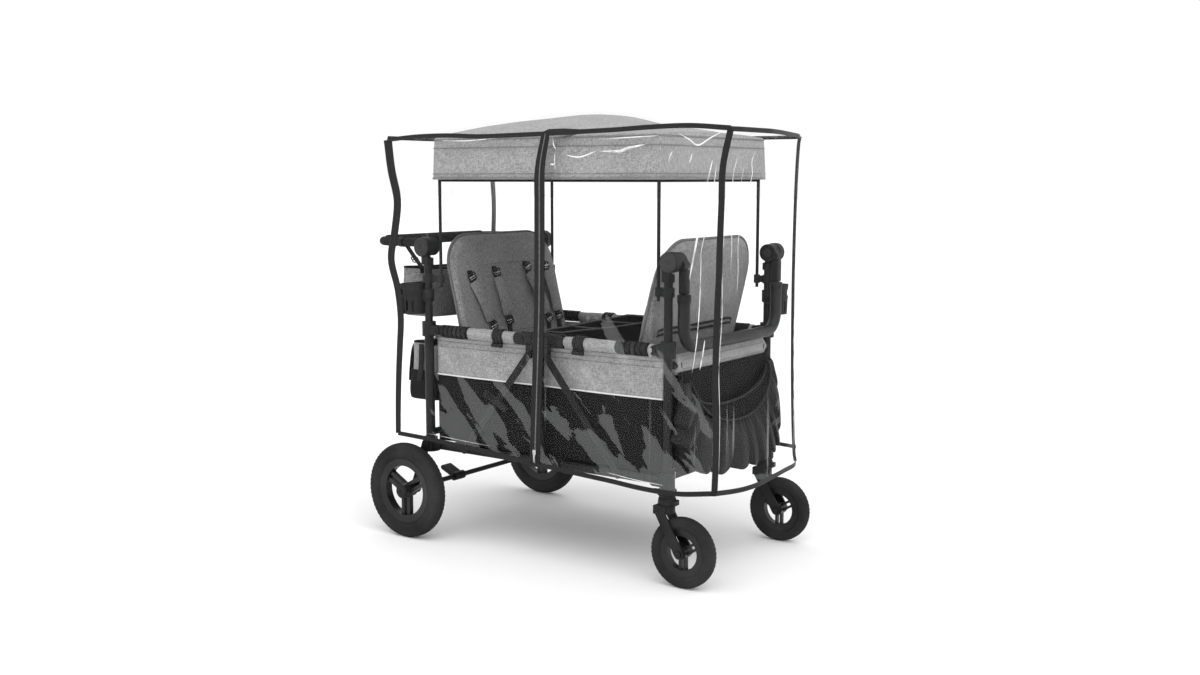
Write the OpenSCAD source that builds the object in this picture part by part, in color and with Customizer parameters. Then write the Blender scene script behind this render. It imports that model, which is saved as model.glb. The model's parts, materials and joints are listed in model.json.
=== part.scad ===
// Four-seat folding stroller wagon with a canopy, a pull handle and a clear rain cover.
// +X points to the front (the pull handle's end), +Y to the wagon's left, +Z up, floor at z = 0.

/* [Frame] */
// Distance between the front and the rear posts
post_spacing = 894; // [884:1:904]
// Distance between the left and the right posts
frame_width = 587; // [583:1:591]
// Height of the upper side rails' centre line
rail_height = 668; // [664:1:672]
// Height of the lower side rails' centre line
lower_height = 297; // [294:1:300]
// Diameter of the front posts and of the rear posts' upper tubes
post_d = 25; // [24:1:26]
// Diameter of the rear posts' lower sleeves
sleeve_d = 30; // [29:1:31]
// Diameter of the side rails
rail_d = 24; // [22:1:24]
// Length of the moulded hub in the middle of each upper rail
hub_length = 187; // [180:1:190]

/* [Wheels] */
// Diameter of the rear wheels
rear_wheel_d = 305; // [300:1:308]
// Width of the rear tyres
rear_tyre_w = 44; // [40:1:46]
// Distance between the rear wheels' middle planes
rear_track = 710; // [708:1:714]
// Diameter of the front wheels
front_wheel_d = 203; // [198:1:204]
// Width of the front tyres
front_tyre_w = 38; // [34:1:38]
// How far a front wheel trails its swivel axis
trail = 55; // [50:1:58]

/* [Handles] */
// How far the push handle reaches behind the rear posts
push_reach = 250; // [245:1:255]
// Diameter of the push handle's grip
push_grip_d = 36; // [34:1:38]
// Diameter of the pull handle's outer tube
pull_tube_d = 35; // [34:1:36]
// Height of the pull handle's cross tube when it is folded down
pull_bar_height = 677; // [672:1:682]

/* [Canopy] */
// Height of the canopy's peak
canopy_peak = 1339; // [1334:1:1340]
// Height of the canopy's upper edge
canopy_edge = 1268; // [1264:1:1268]
// Depth of the canopy's valance
valance = 118; // [110:1:122]
// Diameter of the canopy poles
pole_d = 10; // [9:1:11]

/* [Rain cover] */
// How far the cover reaches in front of the front posts
cover_front_reach = 183; // [178:1:188]
// How far the cover's sides reach behind the rear posts
cover_rear_reach = 103; // [98:1:108]
// Distance from the middle to the cover's right side
cover_right = 346; // [344:1:347]
// Distance from the middle to the cover's left side, which bulges over the cup holder
cover_left = 378; // [377:1:380]
// Height of the cover's lower edge
cover_bottom = 314; // [310:1:318]
// Height of the rear flap's lower edge, above the push handle
cover_rear_bottom = 1010; // [1005:1:1015]

/* [Hidden] */
// The part's length is centred on x = 0, between the push handle and the cover's front.
mid_x = (push_reach - cover_front_reach) / 2;
rear_x = mid_x - post_spacing / 2;
front_x = mid_x + post_spacing / 2;
side_y = frame_width / 2;
sheet = 3;
film = 1;
fit_gap = 0.05;
// side rails
pivot_in = 37;
collar_r = 22;
hub_pivot = 60;
pin_r = 4;
rear_pivot_x = rear_x + pivot_in;
front_pivot_x = front_x - pivot_in;
centre_post_y = side_y + 3;
brace_y = side_y + 18;
brace_t = 5;
brace_top = [33, rail_height - 46];
brace_foot = 290;
// rear axle
axle_x = rear_x - 50;
axle_z = rear_wheel_d / 2;
axle_r = 8;
// casters
caster_z = 258;
fork_gap = front_tyre_w / 2 + 3;
fork_t = 6;
stem_r = 8;
// handles
push_hub_z = 931;
push_hub_x = rear_x - 4;
push_hub_r = 31;
pull_hub_z = 915;
pull_hub_x = front_x + 14;
pull_hub_r = 29;
hub_out = 320;
push_arm_y = 279;
push_bar_x = rear_x - push_reach + push_grip_d / 2;
push_rise = 11;
pull_arm_y = 274;
pull_arm_x = front_x + 39;
pull_rod_r = 9;
pull_sleeve_top = 822;
pull_bend = 58;
// canopy
rear_pole_x = rear_x + 50;
front_pole_x = front_x - 36;
pole_y = 289;
pole_foot = 805;
clip_z = 831;
canopy_over = 10;
// seats
seat_half = 265;
seat_lean = 14;
seat_t = 24;
seat_foot_z = 600;
seat_len = 380;
// tub
tub_y = 277;
tub_top = 648;
tub_bottom = 313;
floor_t = 6;
end_in = 24;
// end cross tubes, from the rails' centre lines
cross_above = 40;
cross_below = 44;

// ---- shared shapes ----

// One copy on each side of the wagon, mirrored.
module both_sides() {
    children();
    mirror([0, 1, 0]) children();
}

// A rod from p to q.
module rod(p, q, r) {
    v = q - p;
    length = norm(v);
    translate(p)
        rotate([0, acos(v[2] / length), atan2(v[1], v[0])])
            cylinder(h = length, r = r, $fn = 40);
}

// A disc with its axis along Y, from y = y0 to y = y1.
module disc(x, z, r, y0, y1) {
    translate([x, y1, z])
        rotate([90, 0, 0])
            cylinder(h = y1 - y0, r = r, $fn = 56);
}

// A flat link in the XZ plane with round ends, from y = y0 to y = y1.
module link(p, q, w, y0, y1) {
    length = norm(q - p);
    bar_w = w * 0.99;
    translate([p[0], y1, p[1]])
        rotate([0, -atan2(q[1] - p[1], q[0] - p[0]), 0])
            rotate([90, 0, 0])
                linear_extrude(y1 - y0) {
                    circle(r = w / 2, $fn = 56);
                    translate([length, 0])
                        circle(r = w / 2, $fn = 56);
                    translate([0, -bar_w / 2])
                        square([length, bar_w]);
                }
}

// A block given by its lowest and its highest corner.
module block(low, high) {
    translate(low)
        cube(high - low);
}

// A quarter bend of tube in the YZ plane, from pointing down to pointing along -Y.
module bend(bend_r, tube_r) {
    translate([0, -bend_r, 0])
        rotate([90, 0, 90])
            rotate_extrude(angle = 90, $fn = 64)
                translate([bend_r, 0])
                    circle(r = tube_r, $fn = 40);
}

// A thin triangular sheet through three points.
module sheet_triangle(a, b, c, thick) {
    hull()
        for (p = [a, b, c])
            translate(p)
                cylinder(h = thick, r = 1, center = true, $fn = 16);
}

// Sloping sheets from the corners of a flat outline, given as [x, y], up to one peak.
module peaked_roof(outline, edge_z, peak, thick) {
    count = len(outline);
    for (i = [0:count - 1])
        sheet_triangle(
            [outline[i][0], outline[i][1], edge_z],
            [outline[(i + 1) % count][0], outline[(i + 1) % count][1], edge_z],
            peak, thick
        );
}

// ---- rear end frame ----

module rear_posts() {
    color("dimgray")
        both_sides() {
            translate([rear_x, side_y, lower_height - 6])
                cylinder(h = rail_height - lower_height, d = sleeve_d, $fn = 48);
            translate([rear_x, side_y, rail_height - 6])
                cylinder(h = push_hub_z - push_hub_r - 3 - rail_height + 6, d = post_d, $fn = 48);
        }
}

// Collar round a post with two cheeks and a pin for the rail's eye; toward is +1 or -1 along X.
module rail_bracket(x, z, d, toward) {
    pivot = x + toward * pivot_in;
    difference() {
        union() {
            translate([x, side_y, z - 20])
                cylinder(h = 46, r = collar_r, $fn = 48);
            for (cheek = [side_y - 15, side_y + 9])
                link([x, z], [pivot, z], 30, cheek, cheek + 6);
        }
        translate([x, side_y, z - 21])
            cylinder(h = 48, r = d / 2, $fn = 48);
    }
    disc(pivot, z, pin_r, side_y - 9, side_y + 9);
}

// Clip on a post that holds a canopy pole.
module pole_clip(post_x, pole_x) {
    difference() {
        union() {
            translate([post_x, side_y, clip_z - 13])
                cylinder(h = 26, r = post_d / 2 + 5, $fn = 48);
            translate([pole_x, pole_y, clip_z - 13])
                cylinder(h = 26, r = pole_d / 2 + 5, $fn = 40);
            block(
                [min(post_x, pole_x), pole_y - 7, clip_z - 10],
                [max(post_x, pole_x), pole_y + 7, clip_z + 10]
            );
        }
        translate([post_x, side_y, clip_z - 18])
            cylinder(h = 36, d = post_d, $fn = 48);
        translate([pole_x, pole_y, clip_z - 18])
            cylinder(h = 36, r = pole_d / 2 + fit_gap, $fn = 40);
    }
}

module rear_brackets() {
    color("black")
        both_sides() {
            rail_bracket(rear_x, rail_height, sleeve_d, 1);
            rail_bracket(rear_x, lower_height, sleeve_d, 1);
            pole_clip(rear_x, rear_pole_x);
        }
}

module rear_underframe() {
    cross_y = side_y - sleeve_d / 2;
    leg_y = side_y + collar_r + 0.5;
    color("dimgray") {
        for (z = [lower_height + cross_above, rail_height - cross_below])
            rod([rear_x, -cross_y, z], [rear_x, cross_y, z], 11);
        both_sides()
            difference() {
                union() {
                    link([axle_x, axle_z], [rear_x, lower_height + 4], 30, leg_y, leg_y + 5);
                    disc(axle_x, axle_z, 17, side_y + 14, side_y + 36);
                }
                disc(axle_x, axle_z, axle_r, side_y, side_y + 40);
            }
    }
}

module rear_axle() {
    color("silver")
        disc(axle_x, axle_z, axle_r, -rear_track / 2 - 16, rear_track / 2 + 16);
}

// Round housing on a post's top; the handle's rotor turns on its inner side.
module hub_housing(x, z, r, post_x) {
    difference() {
        union() {
            disc(x, z, r, side_y + 1, hub_out);
            translate([post_x, side_y, z - r - 26])
                cylinder(h = 22, r = post_d / 2 + 5, $fn = 48);
            block([post_x - 13, side_y + 2, z - r - 26], [post_x + 13, side_y + 17, z]);
        }
        translate([post_x, side_y, z - r - 30])
            cylinder(h = 27, d = post_d, $fn = 48);
    }
    disc(x, z, 7, side_y - 12, side_y + 2);
}

module push_hubs() {
    color("black")
        both_sides()
            hub_housing(push_hub_x, push_hub_z, push_hub_r, rear_x);
}

// Cup holder clipped to a post on one side of the wagon; side is +1 or -1.
module cup_holder(x, y, cup_r, side, post_x) {
    low_z = 718;
    high_z = 816;
    post_y = side * side_y;
    difference() {
        union() {
            translate([x, y, low_z])
                cylinder(h = high_z - low_z, r = cup_r, $fn = 64);
            translate([post_x, post_y, low_z + 40])
                cylinder(h = 40, r = post_d / 2 + 6, $fn = 48);
        }
        translate([x, y, low_z + 4])
            cylinder(h = high_z - low_z, r = cup_r - 4, $fn = 64);
        translate([post_x, post_y, low_z - 1])
            cylinder(h = high_z - low_z + 2, d = post_d, $fn = 48);
    }
}

module cup_holder_rear() {
    color("black")
        cup_holder(rear_x - 57, -side_y - 6, 42, -1, rear_x);
}

// Open-topped box with walls of the given thickness.
module open_box(low, high, wall) {
    difference() {
        block(low, high);
        block(low + [wall, wall, wall], high + [-wall, -wall, wall]);
    }
}

module console_bag() {
    color("gray")
        open_box([rear_x - 163, -255, 700], [rear_x - 33, 255, 858], 5);
}

module storage_bag() {
    color("gray")
        open_box([rear_x - 147, -235, 424], [rear_x - 22, 235, 613], 5);
}

// Half of the tub's skin: two side walls and one end wall.
module tub_half(end_x, centre_x) {
    low_x = min(end_x, centre_x);
    high_x = max(end_x, centre_x);
    both_sides()
        block([low_x, tub_y, tub_bottom], [high_x, tub_y + sheet, tub_top]);
    toward = sign(centre_x - end_x);
    block(
        [min(end_x, end_x + toward * sheet), -tub_y + 1, tub_bottom],
        [max(end_x, end_x + toward * sheet), tub_y - 1, tub_top]
    );
}

module tub_rear() {
    color("gray")
        tub_half(rear_x + end_in, mid_x - 2);
}

module bench_rear() {
    color("gray")
        block([rear_x + 30, -268, 452], [rear_x + 250, 268, 480]);
}

// ---- push handle ----

module push_handle() {
    bar_r = push_grip_d / 2;
    arm_r = 14;
    bar_z = push_hub_z + push_rise;
    corner = 46;
    color("black") {
        difference() {
            union() {
                both_sides() {
                    disc(push_hub_x, push_hub_z, push_hub_r - 2, push_arm_y - 14, side_y + 0.6);
                    rod(
                        [push_hub_x - 10, push_arm_y, bar_z],
                        [push_bar_x + corner, push_arm_y, bar_z], arm_r
                    );
                    translate([push_bar_x + corner, push_arm_y - corner, bar_z])
                        rotate([0, 0, 90])
                            rotate_extrude(angle = 90, $fn = 64)
                                translate([corner, 0])
                                    circle(r = arm_r, $fn = 40);
                }
                rod(
                    [push_bar_x, -push_arm_y + corner, bar_z],
                    [push_bar_x, push_arm_y - corner, bar_z], bar_r
                );
            }
            both_sides() {
                disc(push_hub_x, push_hub_z, 7 + fit_gap, side_y - 12.5, side_y + 2);
                disc(push_hub_x, push_hub_z, 12 + fit_gap, push_arm_y - 16, push_arm_y - 2);
            }
        }
    }
}

// Round button in a handle's hub, on the wagon's inner side.
module hub_button(x, z, face_y) {
    disc(x, z, 12, face_y - 5, face_y + 6);
}

module push_button_left() {
    color("darkgray")
        hub_button(push_hub_x, push_hub_z, push_arm_y - 14);
}

module push_button_right() {
    color("darkgray")
        mirror([0, 1, 0])
            hub_button(push_hub_x, push_hub_z, push_arm_y - 14);
}

// ---- brake ----

module brake_pedal() {
    color("black")
        difference() {
            union() {
                disc(axle_x, axle_z, 14, -132, -84);
                link([axle_x, axle_z], [axle_x - 52, axle_z + 24], 16, -128, -88);
            }
            disc(axle_x, axle_z, axle_r + fit_gap, -140, -80);
        }
}

// ---- wheels ----

module tyre(x, y, z, outer_r, inner_r, w) {
    half = w / 2;
    translate([x, y, z])
        rotate([90, 0, 0])
            rotate_extrude($fn = 96)
                polygon([
                    [inner_r, -half * 0.8], [outer_r - 12, -half], [outer_r - 4, -half * 0.75],
                    [outer_r, -half * 0.35], [outer_r, half * 0.35], [outer_r - 4, half * 0.75],
                    [outer_r - 12, half], [inner_r, half * 0.8]
                ]);
}

// Rim with three pairs of spokes; out is +1 or -1, the side that faces away from the wagon.
module rim(x, y, z, r, open_r, hub_r, w, bore_r, hub_in, hub_cap, bore_out) {
    spoke_w = r * 0.115;
    translate([x, y, z])
        difference() {
            union() {
                rotate([90, 0, 0])
                    rotate_extrude($fn = 96)
                        polygon([
                            [open_r, -w * 0.34], [r, -w * 0.42], [r, w * 0.42], [open_r, w * 0.34]
                        ]);
                for (turn = [90, 210, 330])
                    rotate([0, turn, 0])
                        for (offset = [-1, 1])
                            translate([hub_r * 0.6, -w * 0.2, offset * spoke_w - spoke_w / 2])
                                cube([open_r - hub_r * 0.6 + 3, w * 0.4, spoke_w]);
                disc(0, 0, hub_r, -hub_in, hub_cap);
            }
            disc(0, 0, bore_r, -hub_in - 1, bore_out);
        }
}

module rear_tyre_left() {
    color("black")
        tyre(axle_x, rear_track / 2, axle_z, rear_wheel_d / 2, 104.1, rear_tyre_w);
}

module rear_rim_left() {
    color("black")
        rim(axle_x, rear_track / 2, axle_z, 104, 80, 23, 40, axle_r + fit_gap, 24, 26, 17);
}

module rear_tyre_right() {
    color("black")
        mirror([0, 1, 0])
            tyre(axle_x, rear_track / 2, axle_z, rear_wheel_d / 2, 104.1, rear_tyre_w);
}

module rear_rim_right() {
    color("black")
        mirror([0, 1, 0])
            rim(axle_x, rear_track / 2, axle_z, 104, 80, 23, 40, axle_r + fit_gap, 24, 26, 17);
}

module front_tyre() {
    tyre(front_x + trail, side_y, front_wheel_d / 2, front_wheel_d / 2, 69.1, front_tyre_w);
}

module front_rim() {
    half = front_tyre_w / 2;
    rim(front_x + trail, side_y, front_wheel_d / 2, 69, 49, 17, 32, 6 + fit_gap, half, half, half + 2);
}

module front_tyre_left() {
    color("black")
        front_tyre();
}

module front_rim_left() {
    color("black")
        front_rim();
}

module front_tyre_right() {
    color("black")
        mirror([0, 1, 0])
            front_tyre();
}

module front_rim_right() {
    color("black")
        mirror([0, 1, 0])
            front_rim();
}

// ---- casters ----

module caster_fork() {
    axle = [front_x + trail, front_wheel_d / 2];
    crown_low = 207;
    color("black") {
        translate([front_x, side_y, crown_low + 2])
            cylinder(h = caster_z - 2.3 - crown_low, r = 23, $fn = 48);
        translate([front_x, side_y, caster_z - 6])
            cylinder(h = 20, r = stem_r, $fn = 40);
        block(
            [front_x - 30, side_y - fork_gap - fork_t + 0.6, crown_low],
            [front_x + 10, side_y + fork_gap + fork_t - 0.6, crown_low + 24]
        );
        for (leg = [-fork_gap - fork_t, fork_gap])
            link([front_x - 14, crown_low + 13], axle, 29, side_y + leg, side_y + leg + fork_t);
        disc(axle[0], axle[1], 6, side_y - fork_gap - fork_t - 4, side_y + fork_gap + fork_t + 4);
    }
}

module caster_fork_left() {
    caster_fork();
}

module caster_fork_right() {
    mirror([0, 1, 0])
        caster_fork();
}

module caster_housings() {
    color("black")
        both_sides()
            difference() {
                translate([front_x, side_y, caster_z])
                    cylinder(h = lower_height - 20.5 - caster_z, r = 24.5, $fn = 48);
                translate([front_x, side_y, caster_z - 1])
                    cylinder(h = 17, r = stem_r + fit_gap, $fn = 40);
            }
}

// ---- folding side frames ----

// Half rails on both sides, with an eye at each end that turns on a pin.
module half_rails(x0, x1, z) {
    both_sides()
        difference() {
            union() {
                rod([x0 + 15, side_y, z], [x1 - 15, side_y, z], rail_d / 2);
                disc(x0, z, 13, side_y - 8.5, side_y + 8.5);
                disc(x1, z, 13, side_y - 8.5, side_y + 8.5);
                block([x0, side_y - 8.5, z - 8], [x0 + 20, side_y + 8.5, z + 8]);
                block([x1 - 20, side_y - 8.5, z - 8], [x1, side_y + 8.5, z + 8]);
            }
            disc(x0, z, pin_r + fit_gap, side_y - 20, side_y + 20);
            disc(x1, z, pin_r + fit_gap, side_y - 20, side_y + 20);
            for (x = [x0, x1], cheek = [side_y - 22, side_y + 8.6])
                block([x - 37, cheek, z - 20], [x + 37, cheek + 13.4, z + 20]);
        }
}

module rear_rails() {
    color("dimgray")
        half_rails(rear_pivot_x, mid_x - hub_pivot, rail_height);
}

module front_rails() {
    color("dimgray")
        half_rails(mid_x + hub_pivot, front_pivot_x, rail_height);
}

module rear_lower_rails() {
    color("dimgray")
        half_rails(rear_pivot_x, mid_x - hub_pivot, lower_height);
}

module front_lower_rails() {
    color("dimgray")
        half_rails(mid_x + hub_pivot, front_pivot_x, lower_height);
}

// Ribbed rubber grip on the rail of each side.
module rail_grips(x0, x1) {
    ribs = 6;
    pitch = (x1 - x0) / ribs;
    both_sides()
        difference() {
            union() {
                rod([x0, side_y, rail_height], [x1, side_y, rail_height], 16);
                for (i = [0:ribs - 1])
                    rod(
                        [x0 + i * pitch, side_y, rail_height],
                        [x0 + (i + 0.7) * pitch, side_y, rail_height], 19
                    );
            }
            rod([x0 - 1, side_y, rail_height], [x1 + 1, side_y, rail_height], rail_d / 2);
        }
}

module rear_grips() {
    color("black")
        rail_grips(rear_x + 60, rear_x + 168);
}

module front_grips() {
    color("black")
        rail_grips(front_x - 168, front_x - 60);
}

// Two cheeks, two pins and a bridge between them.
module hub_cheeks(z, length, height) {
    for (cheek = [side_y - 15, side_y + 9])
        link(
            [mid_x - length / 2 + height / 2, z], [mid_x + length / 2 - height / 2, z],
            height, cheek, cheek + 6
        );
    for (x = [mid_x - hub_pivot, mid_x + hub_pivot])
        disc(x, z, pin_r, side_y - 9, side_y + 9);
    block([mid_x - 20, side_y - 9, z - 15], [mid_x + 20, side_y + 9, z + 15]);
}

module centre_hubs() {
    color("black")
        both_sides() {
            hub_cheeks(rail_height, hub_length, 38);
            for (x = [mid_x - brace_top[0], mid_x + brace_top[0]]) {
                link([x, rail_height], [x, brace_top[1]], 26, side_y + 9, brace_y - 3.2);
                disc(x, brace_top[1], pin_r, side_y + 12, brace_y + brace_t);
            }
        }
}

module centre_posts() {
    color("dimgray")
        both_sides() {
            translate([mid_x, centre_post_y, lower_height + 15])
                cylinder(h = rail_height - lower_height - 34, d = 22, $fn = 48);
            hub_cheeks(lower_height, 150, 30);
        }
}

// Diagonal brace on both sides; toward is -1 for the rear one.
module braces(toward) {
    top = [mid_x + toward * brace_top[0], brace_top[1]];
    foot = [mid_x + toward * brace_foot, lower_height + 2];
    both_sides()
        difference() {
            link(top, foot, 22, brace_y - brace_t / 2, brace_y + brace_t / 2);
            disc(top[0], top[1], pin_r + fit_gap, brace_y - 9, brace_y + 9);
        }
}

module braces_rear() {
    color("dimgray")
        braces(-1);
}

module braces_front() {
    color("dimgray")
        braces(1);
}

module organiser() {
    low = [mid_x - 96, -262, 612];
    high = [mid_x + 140, 262, 690];
    color("black") {
        open_box(low, high, 5);
        for (y = [-90, 90])
            block([low[0] + 5, y - 2.5, low[2] + 5], [high[0] - 5, y + 2.5, high[2]]);
    }
}

// Floor board of one half, between the lower rails.
module floor_board(x0, x1) {
    block([x0, -268, lower_height - 3], [x1, 268, lower_height - 3 + floor_t]);
}

module floor_rear() {
    color("black")
        floor_board(rear_pivot_x + 16, mid_x - hub_pivot - 2);
}

module floor_front() {
    color("black")
        floor_board(mid_x + hub_pivot + 2, front_pivot_x - 16);
}

// ---- front end frame ----

module front_posts() {
    color("dimgray")
        both_sides()
            translate([front_x, side_y, lower_height - 20])
                cylinder(h = pull_hub_z - pull_hub_r - 3 - lower_height + 20, d = post_d, $fn = 48);
}

module front_brackets() {
    color("black")
        both_sides() {
            rail_bracket(front_x, rail_height, post_d, -1);
            rail_bracket(front_x, lower_height, post_d, -1);
            pole_clip(front_x, front_pole_x);
        }
}

module front_cross_tubes() {
    cross_y = side_y - post_d / 2;
    color("dimgray")
        for (z = [lower_height + cross_above, rail_height - cross_below])
            rod([front_x, -cross_y, z], [front_x, cross_y, z], 11);
}

module pull_hubs() {
    color("black")
        both_sides()
            hub_housing(pull_hub_x, pull_hub_z, pull_hub_r, front_x);
}

module cup_holder_front() {
    color("black")
        cup_holder(front_x + 10, side_y + 48, 34, 1, front_x);
}

module front_pocket() {
    color("black")
        open_box([front_x + 18, -262, 300], [front_x + 112, 262, 540], 5);
}

module tub_front() {
    color("gray")
        tub_half(front_x - end_in, mid_x + 2);
}

module bench_front() {
    color("gray")
        block([front_x - 250, -268, 452], [front_x - 30, 268, 480]);
}

// ---- seat backs ----

// Padded back with round upper corners, leaning away from the middle of the wagon.
module seat_back() {
    corner = 105;
    rotate([90, 0, 90])
        translate([0, 0, -seat_t])
            linear_extrude(seat_t) {
                translate([-seat_half, 0])
                    square([2 * seat_half, seat_len - corner]);
                translate([-seat_half + corner, 0])
                    square([2 * (seat_half - corner), seat_len]);
                for (y = [-1, 1])
                    translate([y * (seat_half - corner), seat_len - corner])
                        circle(r = corner, $fn = 72);
            }
}

// Tube along a seat back's foot, which its recline hinge turns on.
module seat_tube(x) {
    disc(x, seat_foot_z, 8, -seat_half - 5, seat_half + 5);
}

module seat_back_rear() {
    color("gray") {
        translate([rear_x + 140, 0, seat_foot_z])
            rotate([0, -seat_lean, 0])
                seat_back();
        seat_tube(rear_x + 140);
    }
}

module seat_back_front() {
    color("gray") {
        translate([front_x - 140, 0, seat_foot_z])
            rotate([0, seat_lean, 0])
                mirror([1, 0, 0])
                    seat_back();
        seat_tube(front_x - 140);
    }
}

// ---- pull handle ----

module pull_arms() {
    color("black")
        both_sides()
            difference() {
                union() {
                    disc(pull_hub_x, pull_hub_z, pull_hub_r - 2, pull_arm_y - 14, side_y + 0.6);
                    rod(
                        [pull_arm_x, pull_arm_y, pull_hub_z - 4],
                        [pull_arm_x, pull_arm_y, pull_bar_height + pull_bend - 12], pull_rod_r
                    );
                    disc(pull_arm_x - 4, pull_hub_z - 8, 14, pull_arm_y - 14, pull_arm_y + 13);
                }
                disc(pull_hub_x, pull_hub_z, 7 + fit_gap, side_y - 12.5, side_y + 2);
                disc(pull_hub_x, pull_hub_z, 12 + fit_gap, pull_arm_y - 16, pull_arm_y - 2);
            }
}

module pull_handle() {
    tube_r = pull_tube_d / 2;
    straight_z = pull_bar_height + pull_bend;
    color("black")
        difference() {
            union() {
                both_sides() {
                    translate([pull_arm_x, pull_arm_y, straight_z])
                        cylinder(h = pull_sleeve_top - straight_z, r = tube_r, $fn = 48);
                    translate([pull_arm_x, pull_arm_y, straight_z])
                        mirror([0, 0, 1])
                            bend(pull_bend, tube_r);
                }
                rod(
                    [pull_arm_x, -pull_arm_y + pull_bend, pull_bar_height],
                    [pull_arm_x, pull_arm_y - pull_bend, pull_bar_height], tube_r
                );
            }
            both_sides()
                translate([pull_arm_x, pull_arm_y, straight_z - 14])
                    cylinder(h = pull_sleeve_top, r = pull_rod_r + fit_gap, $fn = 40);
        }
}

module pull_button_left() {
    color("darkgray")
        hub_button(pull_hub_x, pull_hub_z, pull_arm_y - 14);
}

module pull_button_right() {
    color("darkgray")
        mirror([0, 1, 0])
            hub_button(pull_hub_x, pull_hub_z, pull_arm_y - 14);
}

// ---- canopy ----

// Two poles joined at the top by a bar with bent corners.
module canopy_bow(x) {
    bar_z = canopy_edge - 8;
    corner = 30;
    both_sides() {
        translate([x, pole_y, pole_foot])
            cylinder(h = bar_z - corner - pole_foot, d = pole_d, $fn = 40);
        translate([x, pole_y, bar_z - corner])
            bend(corner, pole_d / 2);
    }
    rod([x, -pole_y + corner, bar_z], [x, pole_y - corner, bar_z], pole_d / 2);
}

module canopy_bow_rear() {
    color("dimgray")
        canopy_bow(rear_pole_x);
}

module canopy_bow_front() {
    color("dimgray")
        canopy_bow(front_pole_x);
}

// Two crossing ribs that push the roof up to its peak.
module canopy_ribs() {
    hub_z = canopy_peak - 12;
    color("dimgray") {
        translate([mid_x, 0, hub_z - 5])
            cylinder(h = 8, r = 20, $fn = 48);
        for (x = [rear_pole_x + 12, front_pole_x - 12], y = [-pole_y + 22, pole_y - 22])
            rod([x, y, canopy_edge - 10], [mid_x, 0, hub_z - 1], 3.5);
    }
}

module canopy_roof() {
    x0 = rear_pole_x - canopy_over;
    x1 = front_pole_x + canopy_over;
    half_y = pole_y + canopy_over;
    low_z = canopy_edge - valance;
    color("lightgray") {
        peaked_roof(
            [[x0, -half_y], [x1, -half_y], [x1, half_y], [x0, half_y]],
            canopy_edge, [mid_x, 0, canopy_peak - sheet / 2], sheet
        );
        both_sides()
            block([x0, half_y - 1, low_z], [x1, half_y - 1 + sheet, canopy_edge]);
        for (x = [x0 - sheet + 1, x1 - 1])
            block([x, -half_y, low_z], [x + sheet, half_y, canopy_edge]);
    }
}

// ---- rain cover ----

cover_x0 = rear_x - cover_rear_reach;
cover_x1 = front_x + cover_front_reach;
cover_edge = canopy_edge + 8;
// the front's left corner is drawn back over the pull handle
corner_back = 88;
corner_in = 148;

module cover_top() {
    color("white", 0.3)
        peaked_roof(
            [
                [cover_x0, -cover_right + 2], [cover_x1 - 1, -cover_right + 2],
                [cover_x1 - 1, cover_left - corner_in],
                [cover_x1 - corner_back, cover_left - 2], [cover_x0, cover_left - 2]
            ],
            cover_edge, [mid_x, 0, canopy_peak + 8], film
        );
}

module cover_sides() {
    color("white", 0.3) {
        block(
            [cover_x0, -cover_right, cover_bottom],
            [cover_x1 - film - 1, -cover_right + film, cover_edge - 4]
        );
        block(
            [cover_x0, cover_left - film, cover_bottom],
            [cover_x1 - corner_back - film - 1, cover_left, cover_edge - 4]
        );
    }
}

module cover_front() {
    bend_y = cover_left - corner_in;
    color("white", 0.3)
        translate([0, 0, cover_bottom])
            linear_extrude(cover_edge - 4 - cover_bottom)
                polygon([
                    [cover_x1, -cover_right], [cover_x1, bend_y],
                    [cover_x1 - corner_back, cover_left],
                    [cover_x1 - corner_back - film, cover_left - 1],
                    [cover_x1 - film, bend_y - 1], [cover_x1 - film, -cover_right]
                ]);
}

module cover_rear() {
    color("white", 0.3)
        block(
            [cover_x0 - film - 0.5, -cover_right, cover_rear_bottom],
            [cover_x0 - 0.5, cover_left, cover_edge - 4]
        );
}

rear_posts();
rear_brackets();
rear_underframe();
rear_axle();
push_hubs();
cup_holder_rear();
console_bag();
storage_bag();
tub_rear();
bench_rear();
push_handle();
push_button_left();
push_button_right();
brake_pedal();
rear_tyre_left();
rear_rim_left();
rear_tyre_right();
rear_rim_right();
seat_back_rear();
rear_rails();
rear_grips();
centre_hubs();
centre_posts();
organiser();
front_rails();
front_grips();
rear_lower_rails();
floor_rear();
front_lower_rails();
floor_front();
braces_rear();
braces_front();
front_posts();
front_brackets();
front_cross_tubes();
caster_housings();
pull_hubs();
cup_holder_front();
front_pocket();
tub_front();
bench_front();
seat_back_front();
pull_arms();
pull_handle();
pull_button_left();
pull_button_right();
caster_fork_left();
caster_fork_right();
front_tyre_left();
front_rim_left();
front_tyre_right();
front_rim_right();
canopy_bow_rear();
canopy_bow_front();
canopy_ribs();
canopy_roof();
cover_top();
cover_sides();
cover_front();
cover_rear();
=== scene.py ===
"""Looks of the wagon with pull handle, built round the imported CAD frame. Metres, +X front, +Y left, +Z up."""
import json
import math

import bmesh
import bpy
from mathutils import Matrix, Vector, noise


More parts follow.
